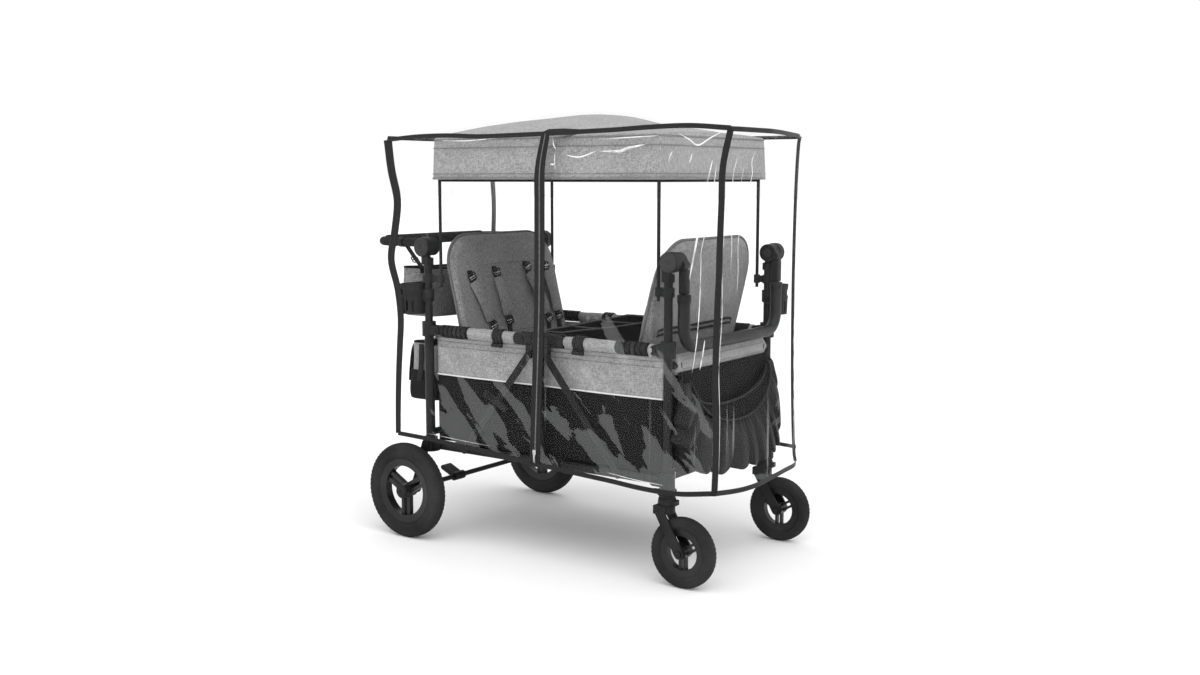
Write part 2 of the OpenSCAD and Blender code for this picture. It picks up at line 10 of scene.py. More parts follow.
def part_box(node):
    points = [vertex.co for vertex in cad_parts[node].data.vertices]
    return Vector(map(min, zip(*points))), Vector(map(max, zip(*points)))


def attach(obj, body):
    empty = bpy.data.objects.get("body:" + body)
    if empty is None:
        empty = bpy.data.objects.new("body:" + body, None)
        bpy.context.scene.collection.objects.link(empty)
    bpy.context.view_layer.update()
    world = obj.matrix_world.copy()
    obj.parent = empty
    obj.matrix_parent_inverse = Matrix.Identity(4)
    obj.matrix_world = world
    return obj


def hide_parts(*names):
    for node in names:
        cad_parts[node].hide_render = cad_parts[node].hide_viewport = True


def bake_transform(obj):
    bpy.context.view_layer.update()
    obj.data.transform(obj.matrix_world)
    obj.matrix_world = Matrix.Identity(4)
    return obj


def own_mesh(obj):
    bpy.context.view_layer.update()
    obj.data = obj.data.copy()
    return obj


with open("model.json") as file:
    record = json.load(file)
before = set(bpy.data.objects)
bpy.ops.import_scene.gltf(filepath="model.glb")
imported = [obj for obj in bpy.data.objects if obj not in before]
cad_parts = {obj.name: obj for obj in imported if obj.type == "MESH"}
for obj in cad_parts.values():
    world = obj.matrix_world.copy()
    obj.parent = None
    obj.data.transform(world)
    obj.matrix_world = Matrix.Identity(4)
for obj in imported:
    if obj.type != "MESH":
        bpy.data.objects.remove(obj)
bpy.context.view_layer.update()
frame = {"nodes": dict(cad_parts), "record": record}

scene = bpy.context.scene
scene.view_settings.view_transform = "Standard"


# ---------------------------------------------------------------- places from the CAD

def low(node):
    return Vector(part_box(node)[0])


def high(node):
    return Vector(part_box(node)[1])


def middle(node):
    return (low(node) + high(node)) / 2


REAR_X = middle("rear_posts").x
FRONT_X = middle("front_posts").x
MID_X = middle("centre_posts").x
POST_R = 0.0125
SIDE_Y = high("front_posts").y - POST_R
RAIL_Z = middle("rear_rails").z
LOW_Z = middle("rear_lower_rails").z
CROSS_Z = RAIL_Z - 0.044  # axis of the upper cross tubes
BRACE_DX, BRACE_DROP = 0.033, 0.046  # brace pin, from the hub's middle
PUSH_ARM_Y = 0.279  # the push handle's arms
SIDES = (("right", -1), ("left", 1))


# ---------------------------------------------------------------- shape helpers

def build(name, verts, faces, material, smooth=True):
    mesh = bpy.data.meshes.new(name)
    mesh.from_pydata([tuple(v) for v in verts], [], faces)
    mesh.update()
    piece = bpy.data.objects.new(name, mesh)
    scene.collection.objects.link(piece)
    mesh.materials.append(material)
    mesh.polygons.foreach_set("use_smooth", [smooth] * len(mesh.polygons))
    return piece


def tidy(piece, merge=1e-6):
    """Joins doubled points and turns every face outwards."""
    work = bmesh.new()
    work.from_mesh(piece.data)
    bmesh.ops.remove_doubles(work, verts=work.verts, dist=merge)
    bmesh.ops.dissolve_degenerate(work, edges=work.edges, dist=merge)
    bmesh.ops.recalc_face_normals(work, faces=work.faces)
    work.to_mesh(piece.data)
    work.free()
    return piece


def apply_modifiers(piece):
    graph = bpy.context.evaluated_depsgraph_get()
    mesh = bpy.data.meshes.new_from_object(piece.evaluated_get(graph))
    piece.modifiers.clear()
    piece.data = mesh
    return piece


def thicken(piece, thickness, offset=-1.0):
    wall = piece.modifiers.new("wall", "SOLIDIFY")
    wall.thickness = thickness
    wall.offset = offset
    wall.use_even_offset = False
    return apply_modifiers(piece)


def refine(piece, levels=1):
    fine = piece.modifiers.new("fine", "SUBSURF")
    fine.levels = fine.render_levels = levels
    return apply_modifiers(piece)


def bevel(piece, width, segments=2, angle=35):
    edge = piece.modifiers.new("edge", "BEVEL")
    edge.width = width
    edge.segments = segments
    edge.limit_method = "ANGLE"
    edge.angle_limit = math.radians(angle)
    edge.harden_normals = False
    return apply_modifiers(piece)


def surface(name, point, nu, nv, material, wrap_u=False, wrap_v=False):
    """Grid of quads through point(u, v), with u and v from 0 to 1."""
    cols = nu if wrap_u else nu + 1
    rows = nv if wrap_v else nv + 1
    verts = [point(i / nu, j / nv) for j in range(rows) for i in range(cols)]
    faces = []
    for j in range(nv):
        for i in range(nu):
            i2, j2 = (i + 1) % cols, (j + 1) % rows
            faces.append((j * cols + i, j * cols + i2, j2 * cols + i2, j2 * cols + i))
    return build(name, verts, faces, material)


def ring(radius, count=12):
    return [
        (radius * math.cos(2 * math.pi * k / count), radius * math.sin(2 * math.pi * k / count))
        for k in range(count)
    ]


def flat(width, thick, chamfer=0.3):
    """Section of a strap or tape, with rounded corners."""
    w, t = width / 2, thick / 2
    c = min(t, w) * 2 * chamfer
    return [(w, -t + c), (w, t - c), (w - c, t), (-w + c, t), (-w, t - c), (-w, -t + c), (-w + c, -t), (w - c, -t)]


def spline(points, count):
    """Catmull-Rom curve through the points, at count + 1 places."""
    p = [Vector(q) for q in points]
    p = [p[0] * 2 - p[1]] + p + [p[-1] * 2 - p[-2]]
    out = []
    for k in range(count + 1):
        t = k / count * (len(p) - 3)
        i = min(int(t), len(p) - 4)
        t -= i
        a, b, c, d = p[i:i + 4]
        out.append(
            0.5 * ((2 * b) + (c - a) * t + (2 * a - 5 * b + 4 * c - d) * t * t + (3 * b - a - 3 * c + d) * t ** 3)
        )
    return out


def level(values, t):
    """Smooth curve through an evenly spaced list, at t from 0 to 1."""
    t = clamp(t) * (len(values) - 1)
    i = min(int(t), len(values) - 2)
    t -= i
    b, c = values[i], values[i + 1]
    a = values[i - 1] if i else 2 * b - c
    d = values[i + 2] if i + 2 < len(values) else 2 * c - b
    return 0.5 * (2 * b + (c - a) * t + (2 * a - 5 * b + 4 * c - d) * t * t + (3 * b - a - 3 * c + d) * t ** 3)


def box_plan(u, hx, hy, corner):
    """Place on a rectangle with rounded corners, at u from 0 to 1 around it."""
    straight_x, straight_y = 2 * (hx - corner), 2 * (hy - corner)
    arc = math.pi * corner / 2
    run = (u % 1.0) * (2 * (straight_x + straight_y) + 4 * arc)
    x, y, heading = hx, -hy + corner, 90.0
    for side in (straight_y, straight_x, straight_y, straight_x):
        a = math.radians(heading)
        if run <= side:
            return x + run * math.cos(a), y + run * math.sin(a)
        run -= side
        x, y = x + side * math.cos(a), y + side * math.sin(a)
        turn = math.degrees(min(run, arc) / corner)
        cx, cy = x - corner * math.sin(a), y + corner * math.cos(a)
        end = math.radians(heading - 90 + turn)
        if run <= arc:
            return cx + corner * math.cos(end), cy + corner * math.sin(end)
        run -= arc
        x, y = cx + corner * math.cos(end), cy + corner * math.sin(end)
        heading += 90
    return hx, -hy + corner


def sweep(name, path, section, material, up=(0, 0, 1), closed=False, grow=None):
    """A section carried along a path. up is the section's second direction at the start."""
    path = [Vector(p) for p in path]
    n, m = len(path), len(section)
    up = Vector(up)
    verts, faces = [], []
    for k, p in enumerate(path):
        before = path[k - 1] if k or closed else p
        after = path[(k + 1) % n] if k < n - 1 or closed else p
        along = (after - before).normalized()
        up = (up - along * up.dot(along)).normalized()
        side = along.cross(up)
        scale = grow(k / (n - 1)) if grow else 1.0
        verts += [p + side * a * scale + up * b * scale for a, b in section]
    for k in range(n if closed else n - 1):
        k2 = (k + 1) % n
        for i in range(m):
            i2 = (i + 1) % m
            faces.append((k * m + i, k2 * m + i, k2 * m + i2, k * m + i2))
    if not closed:
        faces.append(tuple(range(m)))
        faces.append(tuple(reversed(range((n - 1) * m, n * m))))
    return tidy(build(name, verts, faces, material))


def lathe(name, profile, centre, axis, material, segments=40, closed=False):
    """Turned shape: profile of (radius, height) about axis."""
    axis = Vector(axis).normalized()
    side = axis.orthogonal().normalized()
    other = axis.cross(side)
    centre = Vector(centre)
    count = len(profile)

    def point(u, v):
        r, h = profile[int(round(v * (count if closed else count - 1))) % count]
        a = 2 * math.pi * u
        return centre + axis * h + (side * math.cos(a) + other * math.sin(a)) * r

    return tidy(surface(name, point, segments, count if closed else count - 1, material, True, closed))


CORNERS = ((-1, -1), (1, -1), (1, 1), (-1, 1))
BOX_FACES = [(0, 1, 3, 2), (4, 6, 7, 5), (0, 4, 5, 1), (2, 3, 7, 6), (0, 2, 6, 4), (1, 5, 7, 3)]


def slab(name, lo, hi, material, round_by=0.002, segments=2):
    x0, y0, z0 = lo
    x1, y1, z1 = hi
    verts = [(x, y, z) for x in (x0, x1) for y in (y0, y1) for z in (z0, z1)]
    return bevel(tidy(build(name, verts, BOX_FACES, material)), round_by, segments)


def join(name, pieces):
    """One piece out of several that share a finish."""
    verts, faces, marks, materials = [], [], [], []
    for piece in pieces:
        start = len(verts)
        verts += [piece.matrix_world @ v.co for v in piece.data.vertices]
        own = piece.data.materials[0]
        if own not in materials:
            materials.append(own)
        for face in piece.data.polygons:
            faces.append(tuple(start + i for i in face.vertices))
            marks.append((materials.index(own), face.use_smooth))
    joined = build(name, verts, faces, materials[0])
    for extra in materials[1:]:
        joined.data.materials.append(extra)
    for face, (index, smooth) in zip(joined.data.polygons, marks):
        face.material_index = index
        face.use_smooth = smooth
    for piece in pieces:
        bpy.data.objects.remove(piece)
    return joined


def buckle_ring(corners):
    """Path round four corners, with a short straight at the middle of each side."""
    path = []
    for k in range(4):
        path += [corners[k].lerp(corners[(k + 1) % 4], f) for f in (0.12, 0.5, 0.88)]
    return path


def clamp(value):
    return min(max(value, 0.0), 1.0)


def ripple(p, scale, seed=0.0):
    return noise.noise(Vector(p) * scale + Vector((seed, seed * 1.7, -seed)))


def puff(piece, facing, swell=0.008, voxel=0.005, pressure=4.0, frames=20):
    """Pad made by a short cloth simulation: it swells across its faces by up to swell and keeps its outline."""
    facing = Vector(facing)
    grain = piece.modifiers.new("grain", "REMESH")
    grain.mode = "VOXEL"
    grain.voxel_size = voxel
    grain.use_smooth_shade = True
    apply_modifiers(piece)
    start = [v.co.copy() for v in piece.data.vertices]
    cloth = piece.modifiers.new("cloth", "CLOTH")
    settings = cloth.settings
    settings.quality = 5
    settings.mass = 0.3
    settings.tension_stiffness = settings.compression_stiffness = 25
    settings.shear_stiffness = 10
    settings.bending_stiffness = 1.5
    settings.use_pressure = True
    settings.uniform_pressure_force = pressure
    settings.effector_weights.gravity = 0
    cloth.point_cache.frame_start = 1
    cloth.point_cache.frame_end = frames
    for step in range(1, frames + 1):
        scene.frame_set(step)
    apply_modifiers(piece)
    scene.frame_set(1)
    for vertex, home in zip(piece.data.vertices, start):
        shift = (vertex.co - home).dot(facing)
        vertex.co = home + facing * max(-swell, min(swell, shift))
    return refine(piece)


def place(piece, body, replaces=(), squash=None, blend=None):
    if blend:
        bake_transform(piece)
    else:
        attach(piece, body)
    if squash:
        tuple(squash[1])
        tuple(squash[2])
        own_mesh(piece)
    if replaces:
        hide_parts(*replaces)
    return piece


# ---------------------------------------------------------------- finishes

class Finish:
    """A Principled material with a few node helpers. Textures read the object's own coordinates."""

    def __init__(self, name, rough, **fixed):
        self.material = bpy.data.materials.new(name)
        self.material.use_nodes = True
        self.tree = self.material.node_tree
        self.shader = self.tree.nodes["Principled BSDF"]
        self.shader.inputs["Roughness"].default_value = rough
        for key, value in fixed.items():
            self.shader.inputs[key.replace("_", " ")].default_value = value
        self.where = self.tree.nodes.new("ShaderNodeTexCoord").outputs["Object"]
        self.last_bump = None

    def node(self, kind, **settings):
        node = self.tree.nodes.new(kind)
        for key, value in settings.items():
            setattr(node, key, value)
        return node

    def feed(self, source, target):
        self.tree.links.new(source, target)

    def mapped(self, scale, turn=(0, 0, 0)):
        """Object coordinates, turned first and then scaled."""
        mapping = self.node("ShaderNodeMapping", vector_type="TEXTURE")
        mapping.inputs["Scale"].default_value = [1 / k for k in scale]
        mapping.inputs["Rotation"].default_value = turn
        self.feed(self.where, mapping.inputs["Vector"])
        return mapping.outputs["Vector"]

    def noise(self, scale, detail=3.0, rough=0.5, twist=0.0, turn=(0, 0, 0)):
        texture = self.node("ShaderNodeTexNoise")
        texture.inputs["Scale"].default_value = 1.0
        texture.inputs["Detail"].default_value = detail
        texture.inputs["Roughness"].default_value = rough
        texture.inputs["Distortion"].default_value = twist
        self.feed(self.mapped(scale, turn), texture.inputs["Vector"])
        return texture.outputs["Fac"]

    def bands(self, direction, pitch, twist=0.0):
        texture = self.node("ShaderNodeTexWave", wave_type="BANDS", bands_direction=direction)
        texture.inputs["Scale"].default_value = 0.314 / pitch
        texture.inputs["Distortion"].default_value = twist
        self.feed(self.where, texture.inputs["Vector"])
        return texture.outputs["Fac"]

    def math(self, operation, a, b):
        node = self.node("ShaderNodeMath", operation=operation)
        for value, socket in zip((a, b), node.inputs):
            if isinstance(value, (int, float)):
                socket.default_value = value
            else:
                self.feed(value, socket)
        return node.outputs["Value"]

    def ramp(self, source, stops):
        node = self.node("ShaderNodeValToRGB")
        elements = node.color_ramp.elements
        while len(elements) < len(stops):
            elements.new(0.5)
        for element, (place_at, value) in zip(elements, stops):
            element.position = place_at
            element.color = (*value, 1) if hasattr(value, "__len__") else (value, value, value, 1)
        self.feed(source, node.inputs["Fac"])
        return node.outputs["Color"]

    def colour(self, source):
        self.feed(source, self.shader.inputs["Base Color"])

    def bump(self, source, depth, strength=1.0):
        node = self.node("ShaderNodeBump")
        node.inputs["Distance"].default_value = depth
        node.inputs["Strength"].default_value = strength
        self.feed(source, node.inputs["Height"])
        if self.last_bump:
            self.feed(self.last_bump, node.inputs["Normal"])
        self.last_bump = node.outputs["Normal"]
        self.feed(self.last_bump, self.shader.inputs["Normal"])


def tint(dark, light, t):
    return tuple(a + (b - a) * t for a, b in zip(dark, light))


def grey(value, warm=0.0):
    return (value * (1 + warm), value, value * (1 - warm))


def smooth_finish(name, shade, rough, grain=1400.0, depth=0.00006, vary=0.25, **fixed):
    """Coated metal, moulding or rubber: fine grain, slow changes of tone and of gloss."""
    f = Finish(name, rough, **fixed)
    slow = f.noise((9, 9, 9), 4)
    f.colour(f.ramp(slow, [(0.3, tint(shade, (0, 0, 0), vary)), (0.7, tint(shade, (1, 1, 1), vary * 0.05))]))
    f.feed(
        f.ramp(f.noise((45, 45, 45), 5), [(0.3, rough - 0.07), (0.75, rough + 0.09)]),
        f.shader.inputs["Roughness"],
    )
    f.bump(f.noise((grain, grain, grain), 2), depth)
    return f.material


def cloth_finish(name, dark, light, thread=0.0016, rough=0.92, **fixed):
    """Woven cloth: threads both ways, fine heather along them, and a slow change of tone."""
    f = Finish(name, rough, **fixed)
    s = 340.0
    across = f.noise((s * 0.25, s, s), 2, 0.6)
    down = f.noise((s, s, s * 0.25), 2, 0.6)
    flecks = f.math("MULTIPLY", f.math("ADD", across, down), 0.5)
    slow = f.noise((11, 11, 11), 3)
    mixed = f.math("ADD", f.math("MULTIPLY", flecks, 0.88), f.math("MULTIPLY", slow, 0.12))
    f.colour(f.ramp(mixed, [(0.38, dark), (0.62, light)]))
    weave = f.math("MULTIPLY", f.bands("X", thread), f.bands("Z", thread))
    side = f.math("MULTIPLY", f.bands("Y", thread), f.bands("Z", thread))
    f.bump(f.math("MAXIMUM", weave, side), 0.0003, 0.6)
    f.bump(f.noise((38, 38, 38), 4), 0.0014, 0.45)
    return f.material


COAT = smooth_finish("coat_charcoal", (0.0068, 0.0070, 0.0075), 0.46, vary=0.2, Specular_IOR_Level=0.18)
COAT_LIGHT = smooth_finish("coat_graphite", (0.0098, 0.0101, 0.0108), 0.42, vary=0.2, Specular_IOR_Level=0.22)
MOULD = smooth_finish(
    "moulding_black", (0.0052, 0.0054, 0.0057), 0.52, grain=900, depth=0.00012, Specular_IOR_Level=0.2
)
FOAM = smooth_finish("grip_foam", (0.009, 0.009, 0.0095), 0.85, grain=520, depth=0.0004, Specular_IOR_Level=0.2)
RUBBER = smooth_finish("grip_rubber", (0.006, 0.006, 0.0064), 0.7, grain=700, depth=0.0002, Specular_IOR_Level=0.2)
TYRE = smooth_finish("tyre_rubber", (0.0145, 0.0145, 0.015), 0.8, grain=420, depth=0.0003, Specular_IOR_Level=0.2)
RIM = smooth_finish("rim_gloss", (0.0045, 0.0045, 0.0048), 0.34, grain=1500, depth=0.00003, Specular_IOR_Level=0.28)
STEEL = smooth_finish("bright_steel", (0.50, 0.50, 0.51), 0.28, Metallic=1.0, vary=0.3)
BUTTON = smooth_finish("button_dark", (0.018, 0.018, 0.0195), 0.5, Specular_IOR_Level=0.3)
ROD = smooth_finish("rod_dark", (0.018, 0.0185, 0.02), 0.38, Specular_IOR_Level=0.3)
LIGHT_CLOTH = cloth_finish("cloth_light_grey", grey(0.17), grey(0.37))
SEAT_CLOTH = cloth_finish("cloth_seat_grey", grey(0.10), grey(0.30))
CANOPY_CLOTH = cloth_finish("cloth_canopy_grey", grey(0.19), grey(0.40))
CANOPY_EDGE = cloth_finish("cloth_canopy_edge", grey(0.15), grey(0.24), thread=0.0009)
BLACK_CLOTH = cloth_finish("cloth_black", grey(0.005), grey(0.013), thread=0.0011, rough=0.9, Specular_IOR_Level=0.12)
POCKET_CLOTH = cloth_finish(
    "cloth_pocket_black", grey(0.003), grey(0.008), thread=0.0011, rough=0.5, Specular_IOR_Level=0.22
)
PIPING = cloth_finish("piping_white", grey(0.66), grey(0.84), thread=0.0009, rough=0.7)
WEBBING = cloth_finish("webbing_black", grey(0.005), grey(0.012), thread=0.0022, rough=0.65, Specular_IOR_Level=0.2)
TAPE = cloth_finish("tape_charcoal", grey(0.0045), grey(0.012), thread=0.0014, rough=0.55, Specular_IOR_Level=0.25)
TAPE_LIGHT = cloth_finish("tape_zip_teeth", grey(0.06), grey(0.16), thread=0.0030, rough=0.45)
SEAM = cloth_finish("thread_grey", grey(0.10), grey(0.18), thread=0.0026)
SEAM_DARK = cloth_finish("thread_dark", grey(0.03), grey(0.07), thread=0.0020)
SEAT_EDGE = cloth_finish("seat_piping_grey", grey(0.075), grey(0.17), thread=0.0012)
ORGANISER_EDGE = cloth_finish("organiser_binding", grey(0.05), grey(0.11), thread=0.0014)


def film_finish(name, painted_streak_amount, painted_reflection_amount, reach):
    """Clear film: nearly invisible, with painted reflection as whitish patches below about `reach`, and painted
    highlights as bright streaks where it creases.
    """
    f = Finish(name, 0.14)
    f.shader.inputs["Base Color"].default_value = (0.94, 0.95, 0.96, 1)
    split = f.node("ShaderNodeSeparateXYZ")
    f.feed(f.where, split.inputs["Vector"])
    low_down = f.math("ADD", f.math("MULTIPLY", split.outputs["Z"], -0.42), 0.42 * reach)
    shards = f.noise((3.6, 3.4, 13.0), 4, 0.5, 0.6, (0, 0.82, 0))
    # painted reflection: whitish, sharp-edged patches on the lower film, standing in for the surroundings reflected
    # in it
    painted_reflection_patches = f.math("MULTIPLY", f.ramp(f.math("ADD", shards, low_down), [(0.512, 0.0), (0.517, 1.0)]), painted_reflection_amount)
    # painted highlights: thin bright streaks standing in for creases that catch the light
    painted_crease_highlights = f.ramp(f.noise((34, 34, 1.7), 2, 0.4, 0.5), [(0.665, 0.0), (0.70, 1.0)])
    gate = f.ramp(f.noise((2.2, 2.2, 1.2), 1), [(0.50, 0.0), (0.62, 1.0)])
    lines = f.math("MULTIPLY", f.math("MULTIPLY", painted_crease_highlights, gate), painted_streak_amount)
    edge = f.node("ShaderNodeLayerWeight")
    edge.inputs["Blend"].default_value = 0.10
    glance = f.math("MULTIPLY", edge.outputs["Fresnel"], 0.06)
    alpha = f.math("ADD", f.math("ADD", painted_reflection_patches, lines), f.math("ADD", glance, 0.006))
    f.feed(f.math("MINIMUM", alpha, 0.9), f.shader.inputs["Alpha"])
    f.bump(f.noise((10, 10, 4), 3), 0.004, 0.4)
    return f.material


def glint_finish():
    """Painted highlights where creases in the film catch the light: bright, broken up and soft at their ends."""
    f = Finish("film_glint", 0.25)
    f.colour(f.ramp(f.noise((60, 60, 60), 2), [(0, grey(0.93)), (1, grey(0.99))]))
    f.feed(f.ramp(f.noise((26, 26, 26), 3), [(0.34, 0.10), (0.56, 0.66)]), f.shader.inputs["Alpha"])
    return f.material


FILM = film_finish("film_clear", 0.08, 0.066, 0.393)
FILM_FRONT = film_finish("film_clear_front", 0.14, 0.060, 0.265)
# painted highlights laid over the film's creases
GLINT = glint_finish()

NODE_FINISH = {
    "frame_coat": COAT, "moulding": MOULD, "grip_rubber": RUBBER, "steel": STEEL, "tyre_rubber": TYRE,
    "rim_plastic": RIM, "button_plastic": BUTTON, "fabric_seat": SEAT_CLOTH, "fabric_light": LIGHT_CLOTH,
    "fabric_black": BLACK_CLOTH, "board": BLACK_CLOTH, "rod_glassfibre": ROD, "clear_film": FILM,
}
SPECIAL = {"push_handle": FOAM, "rear_axle": COAT, "front_posts": COAT, "pull_handle": COAT_LIGHT}
SLOT_OF = {part["node"]: part["material_slot"] for part in frame["record"]["subparts"]}
for node_name, node_object in frame["nodes"].items():
    chosen = SPECIAL.get(node_name) or NODE_FINISH[SLOT_OF[node_name]]
    if not node_object.material_slots:
        node_object.data.materials.append(chosen)
    for entry in node_object.material_slots:
        entry.material = chosen


# ---------------------------------------------------------------- stage, light and camera

def make_stage():
    floor_finish = Finish("floor_white", 0.95, Specular_IOR_Level=0.0)
    floor_finish.colour(floor_finish.ramp(floor_finish.noise((2, 2, 2), 2), [(0, grey(0.88)), (1, grey(0.90))]))
    floor = build(
        "floor", [(-60, -60, 0), (60, -60, 0), (60, 60, 0), (-60, 60, 0)], [(0, 1, 2, 3)], floor_finish.material
    )
    world = bpy.data.worlds.new("studio")
    world.use_nodes = True
    world.node_tree.nodes["Background"].inputs["Color"].default_value = (1, 1, 1, 1)
    world.node_tree.nodes["Background"].inputs["Strength"].default_value = 1.0
    scene.world = world
    for name, tilt, spin, wide, power in (("sky", 38, 60, 60, 1.35), ("fill", 62, -20, 70, 0.45)):
        lamp = bpy.data.lights.new(name, "SUN")
        lamp.angle = math.radians(wide)
        lamp.energy = power
        holder = bpy.data.objects.new(name, lamp)
        holder.rotation_euler = (math.radians(tilt), 0, math.radians(spin))
        scene.collection.objects.link(holder)


def make_camera():
    lens = bpy.data.cameras.new("camera")
    lens.lens = 38.28
    lens.sensor_width = 36
    lens.clip_end = 200
    camera = bpy.data.objects.new("camera", lens)
    camera.location = (2.3420, -3.2789, 1.1443)
    camera.rotation_euler = (math.radians(90 - 7.11), 0, math.radians(35.03))
    scene.collection.objects.link(camera)
    scene.camera = camera


make_stage()
make_camera()


# ---------------------------------------------------------------- fold and roll-up settings handed to the soft pieces (not used to bend them)

POLE_REAR, POLE_FRONT = middle("canopy_bow_rear").x, middle("canopy_bow_front").x
FILM_X0, FILM_X1 = low("cover_sides").x, high("cover_front").x
FILM_RIGHT, FILM_LEFT = low("cover_sides").y, high("cover_sides").y
FILM_Z1 = high("cover_front").z
ALONG, UPWARD = (1, 0, 0), (0, 0, 1)
FOLD_REAR = ("fold", ALONG, (REAR_X, 0, 0), 0.61)
FOLD_FRONT = ("fold", ALONG, (FRONT_X, 0, 0), 0.61)
FOLD_CANOPY = ("fold", ALONG, (POLE_REAR, 0, 0), 0.567)
FOLD_COVER = ("fold", ALONG, (FILM_X0, 0, 0), 0.703)
ROLL_UP = ("pull_handle_swing", UPWARD, (0, 0, FILM_Z1), 0.10)


# ---------------------------------------------------------------- wheels

def make_tyre(side, which, blocks):
    node = f"{which}_tyre_{side}"
    c, size = middle(node), high(node) - low(node)
    outer, half = size.z / 2, size.y / 2
    bead = outer * (0.683 if which == "rear" else 0.681)
    wall = outer - bead
    profile = [
        (bead, -0.70), (bead + wall * 0.06, -0.82), (bead + wall * 0.20, -0.90), (bead + wall * 0.27, -0.97),
        (bead + wall * 0.33, -0.965), (bead + wall * 0.38, -0.92), (bead + wall * 0.62, -0.97),
        (bead + wall * 0.78, -0.93), (bead + wall * 0.80, -0.905), (bead + wall * 0.90, -0.80),
        (bead + wall * 0.955, -0.62), (bead + wall * 0.985, -0.40), (outer, -0.22), (outer, -0.10),
    ]
    profile += [(r, -h) for r, h in reversed(profile)]
    around = blocks * 6

    def point(u, v):
        r, h = profile[int(round(v * len(profile))) % len(profile)]
        turn = u * blocks
        if r > bead + wall * 0.84:
            if abs(h) > 0.3:
                cut = ((turn + abs(h) * 1.1) % 1.0) < 0.34
                r -= 0.0017 if cut else 0.0
            elif abs(h) < 0.15:
                r -= 0.0012
        a = 2 * math.pi * u
        return (c.x + r * math.cos(a), c.y + h * half, c.z + r * math.sin(a))

    piece = tidy(surface(f"tyre_{which}_{side}", point, around, len(profile), TYRE, True, True))
    place(piece, f"{which}_wheel_{side}", [node])


def make_cap(name, centre, axis, radius, depth, material=MOULD):
    """Round cap with a sunk ring and a small boss."""
    r, d = radius, depth
    profile = [
        (0, d * 0.75), (r * 0.14, d * 0.75), (r * 0.17, d * 0.35), (r * 0.24, d * 0.35), (r * 0.28, d),
        (r * 0.66, d), (r * 0.70, d * 0.72), (r * 0.76, d * 0.72), (r * 0.80, d), (r * 0.92, d * 0.92),
        (r, d * 0.55), (r, 0), (0, 0),
    ]
    return lathe(name, profile, centre, axis, material, 36)


def make_bolt(name, centre, axis, radius, depth=0.0025, material=MOULD):
    r, d = radius, depth
    profile = [(0, d * 0.5), (r * 0.45, d * 0.5), (r * 0.5, d), (r * 0.8, d), (r, d * 0.6), (r, 0), (0, 0)]
    return lathe(name, profile, centre, axis, material, 18)


def make_wheels():
    for side, s in SIDES:
        make_tyre(side, "rear", 64)
        make_tyre(side, "front", 48)
        rim = f"rear_rim_{side}"
        face = high(rim).y if s > 0 else low(rim).y
        c = middle(rim)
        cap = make_cap(f"hub_cap_rear_{side}", (c.x, face - s * 0.0005, c.z), (0, s, 0), 0.0215, 0.004, MOULD)
        place(cap, f"rear_wheel_{side}")
        fork = f"caster_fork_{side}"
        c = middle(f"front_rim_{side}")
        for tag, face, t in (("out", high(fork).y, 1), ("in", low(fork).y, -1)):
            bolt = lathe(
                f"axle_nut_{side}_{tag}",
                [
                    (0, 0.005), (0.0035, 0.005), (0.004, 0.0035), (0.0075, 0.0035), (0.009, 0.002), (0.009, -0.004),
                    (0, -0.004)
                ],
                (c.x, face, c.z), (0, t, 0), MOULD, 24,
            )
            place(bolt, f"caster_{side}")


# ---------------------------------------------------------------- small parts of the frame

def make_frame_details():
    for side, s in SIDES:
        make_hub_details(side, s)
        make_brace_details(side, s)
        make_pull_arm_details(side, s)
        make_push_rings(side, s)
        make_caster_details(side, s)


def make_hub_details(side, s):
    """Handle hub caps, rail and brace bolts, and the shells of the fold hub on one side."""
    for which, body, r in (("push", "rear_frame", 0.029), ("pull", "front_frame", 0.027)):
        face, hub = high(f"{which}_hubs").y, middle(f"{which}_button_left")
        cap = make_cap(
            f"{which}_hub_cap_{side}", (hub.x, s * (face - 0.0004), hub.z), (0, s, 0), r, 0.003, BUTTON
        )
        place(cap, body)
    for tag, x, body in (
        ("rear", low("rear_rails").x + 0.013, "rear_frame"),
        ("front", high("front_rails").x - 0.013, "front_frame")
    ):
        bolts = [
            make_bolt("bolt", (x, s * (SIDE_Y + 0.0149), z), (0, s, 0), 0.0058) for z in (RAIL_Z, LOW_Z)
        ]
        place(join(f"pivot_bolts_{tag}_{side}", bolts), body)
    bolts = [
        make_bolt("bolt", (MID_X + dx, s * (SIDE_Y + 0.0149), z), (0, s, 0), 0.0055)
        for dx in (-0.06, 0.06) for z in (RAIL_Z, LOW_Z)
    ]
    bolts += [
        make_bolt("bolt", (MID_X + dx, s * (SIDE_Y + 0.0229), RAIL_Z - BRACE_DROP), (0, s, 0), 0.0055)
        for dx in (-BRACE_DX, BRACE_DX)
    ]
    place(join(f"hub_bolts_{side}", bolts), "centre")
    shells = [
        slab(
            "shell", (MID_X + x0, s * SIDE_Y - half, RAIL_Z - below),
            (MID_X + x1, s * SIDE_Y + half, RAIL_Z + above), MOULD, 0.004, 3
        )
        for x0, x1, half, below, above in (
            (-0.05, -0.022, 0.017, 0.0165, 0.0175), (0.022, 0.05, 0.017, 0.0165, 0.0175),
            (-0.018, 0.018, 0.0175, 0.0145, 0.0215),
        )
    ]
    place(join(f"hub_shell_{side}", shells), "centre")


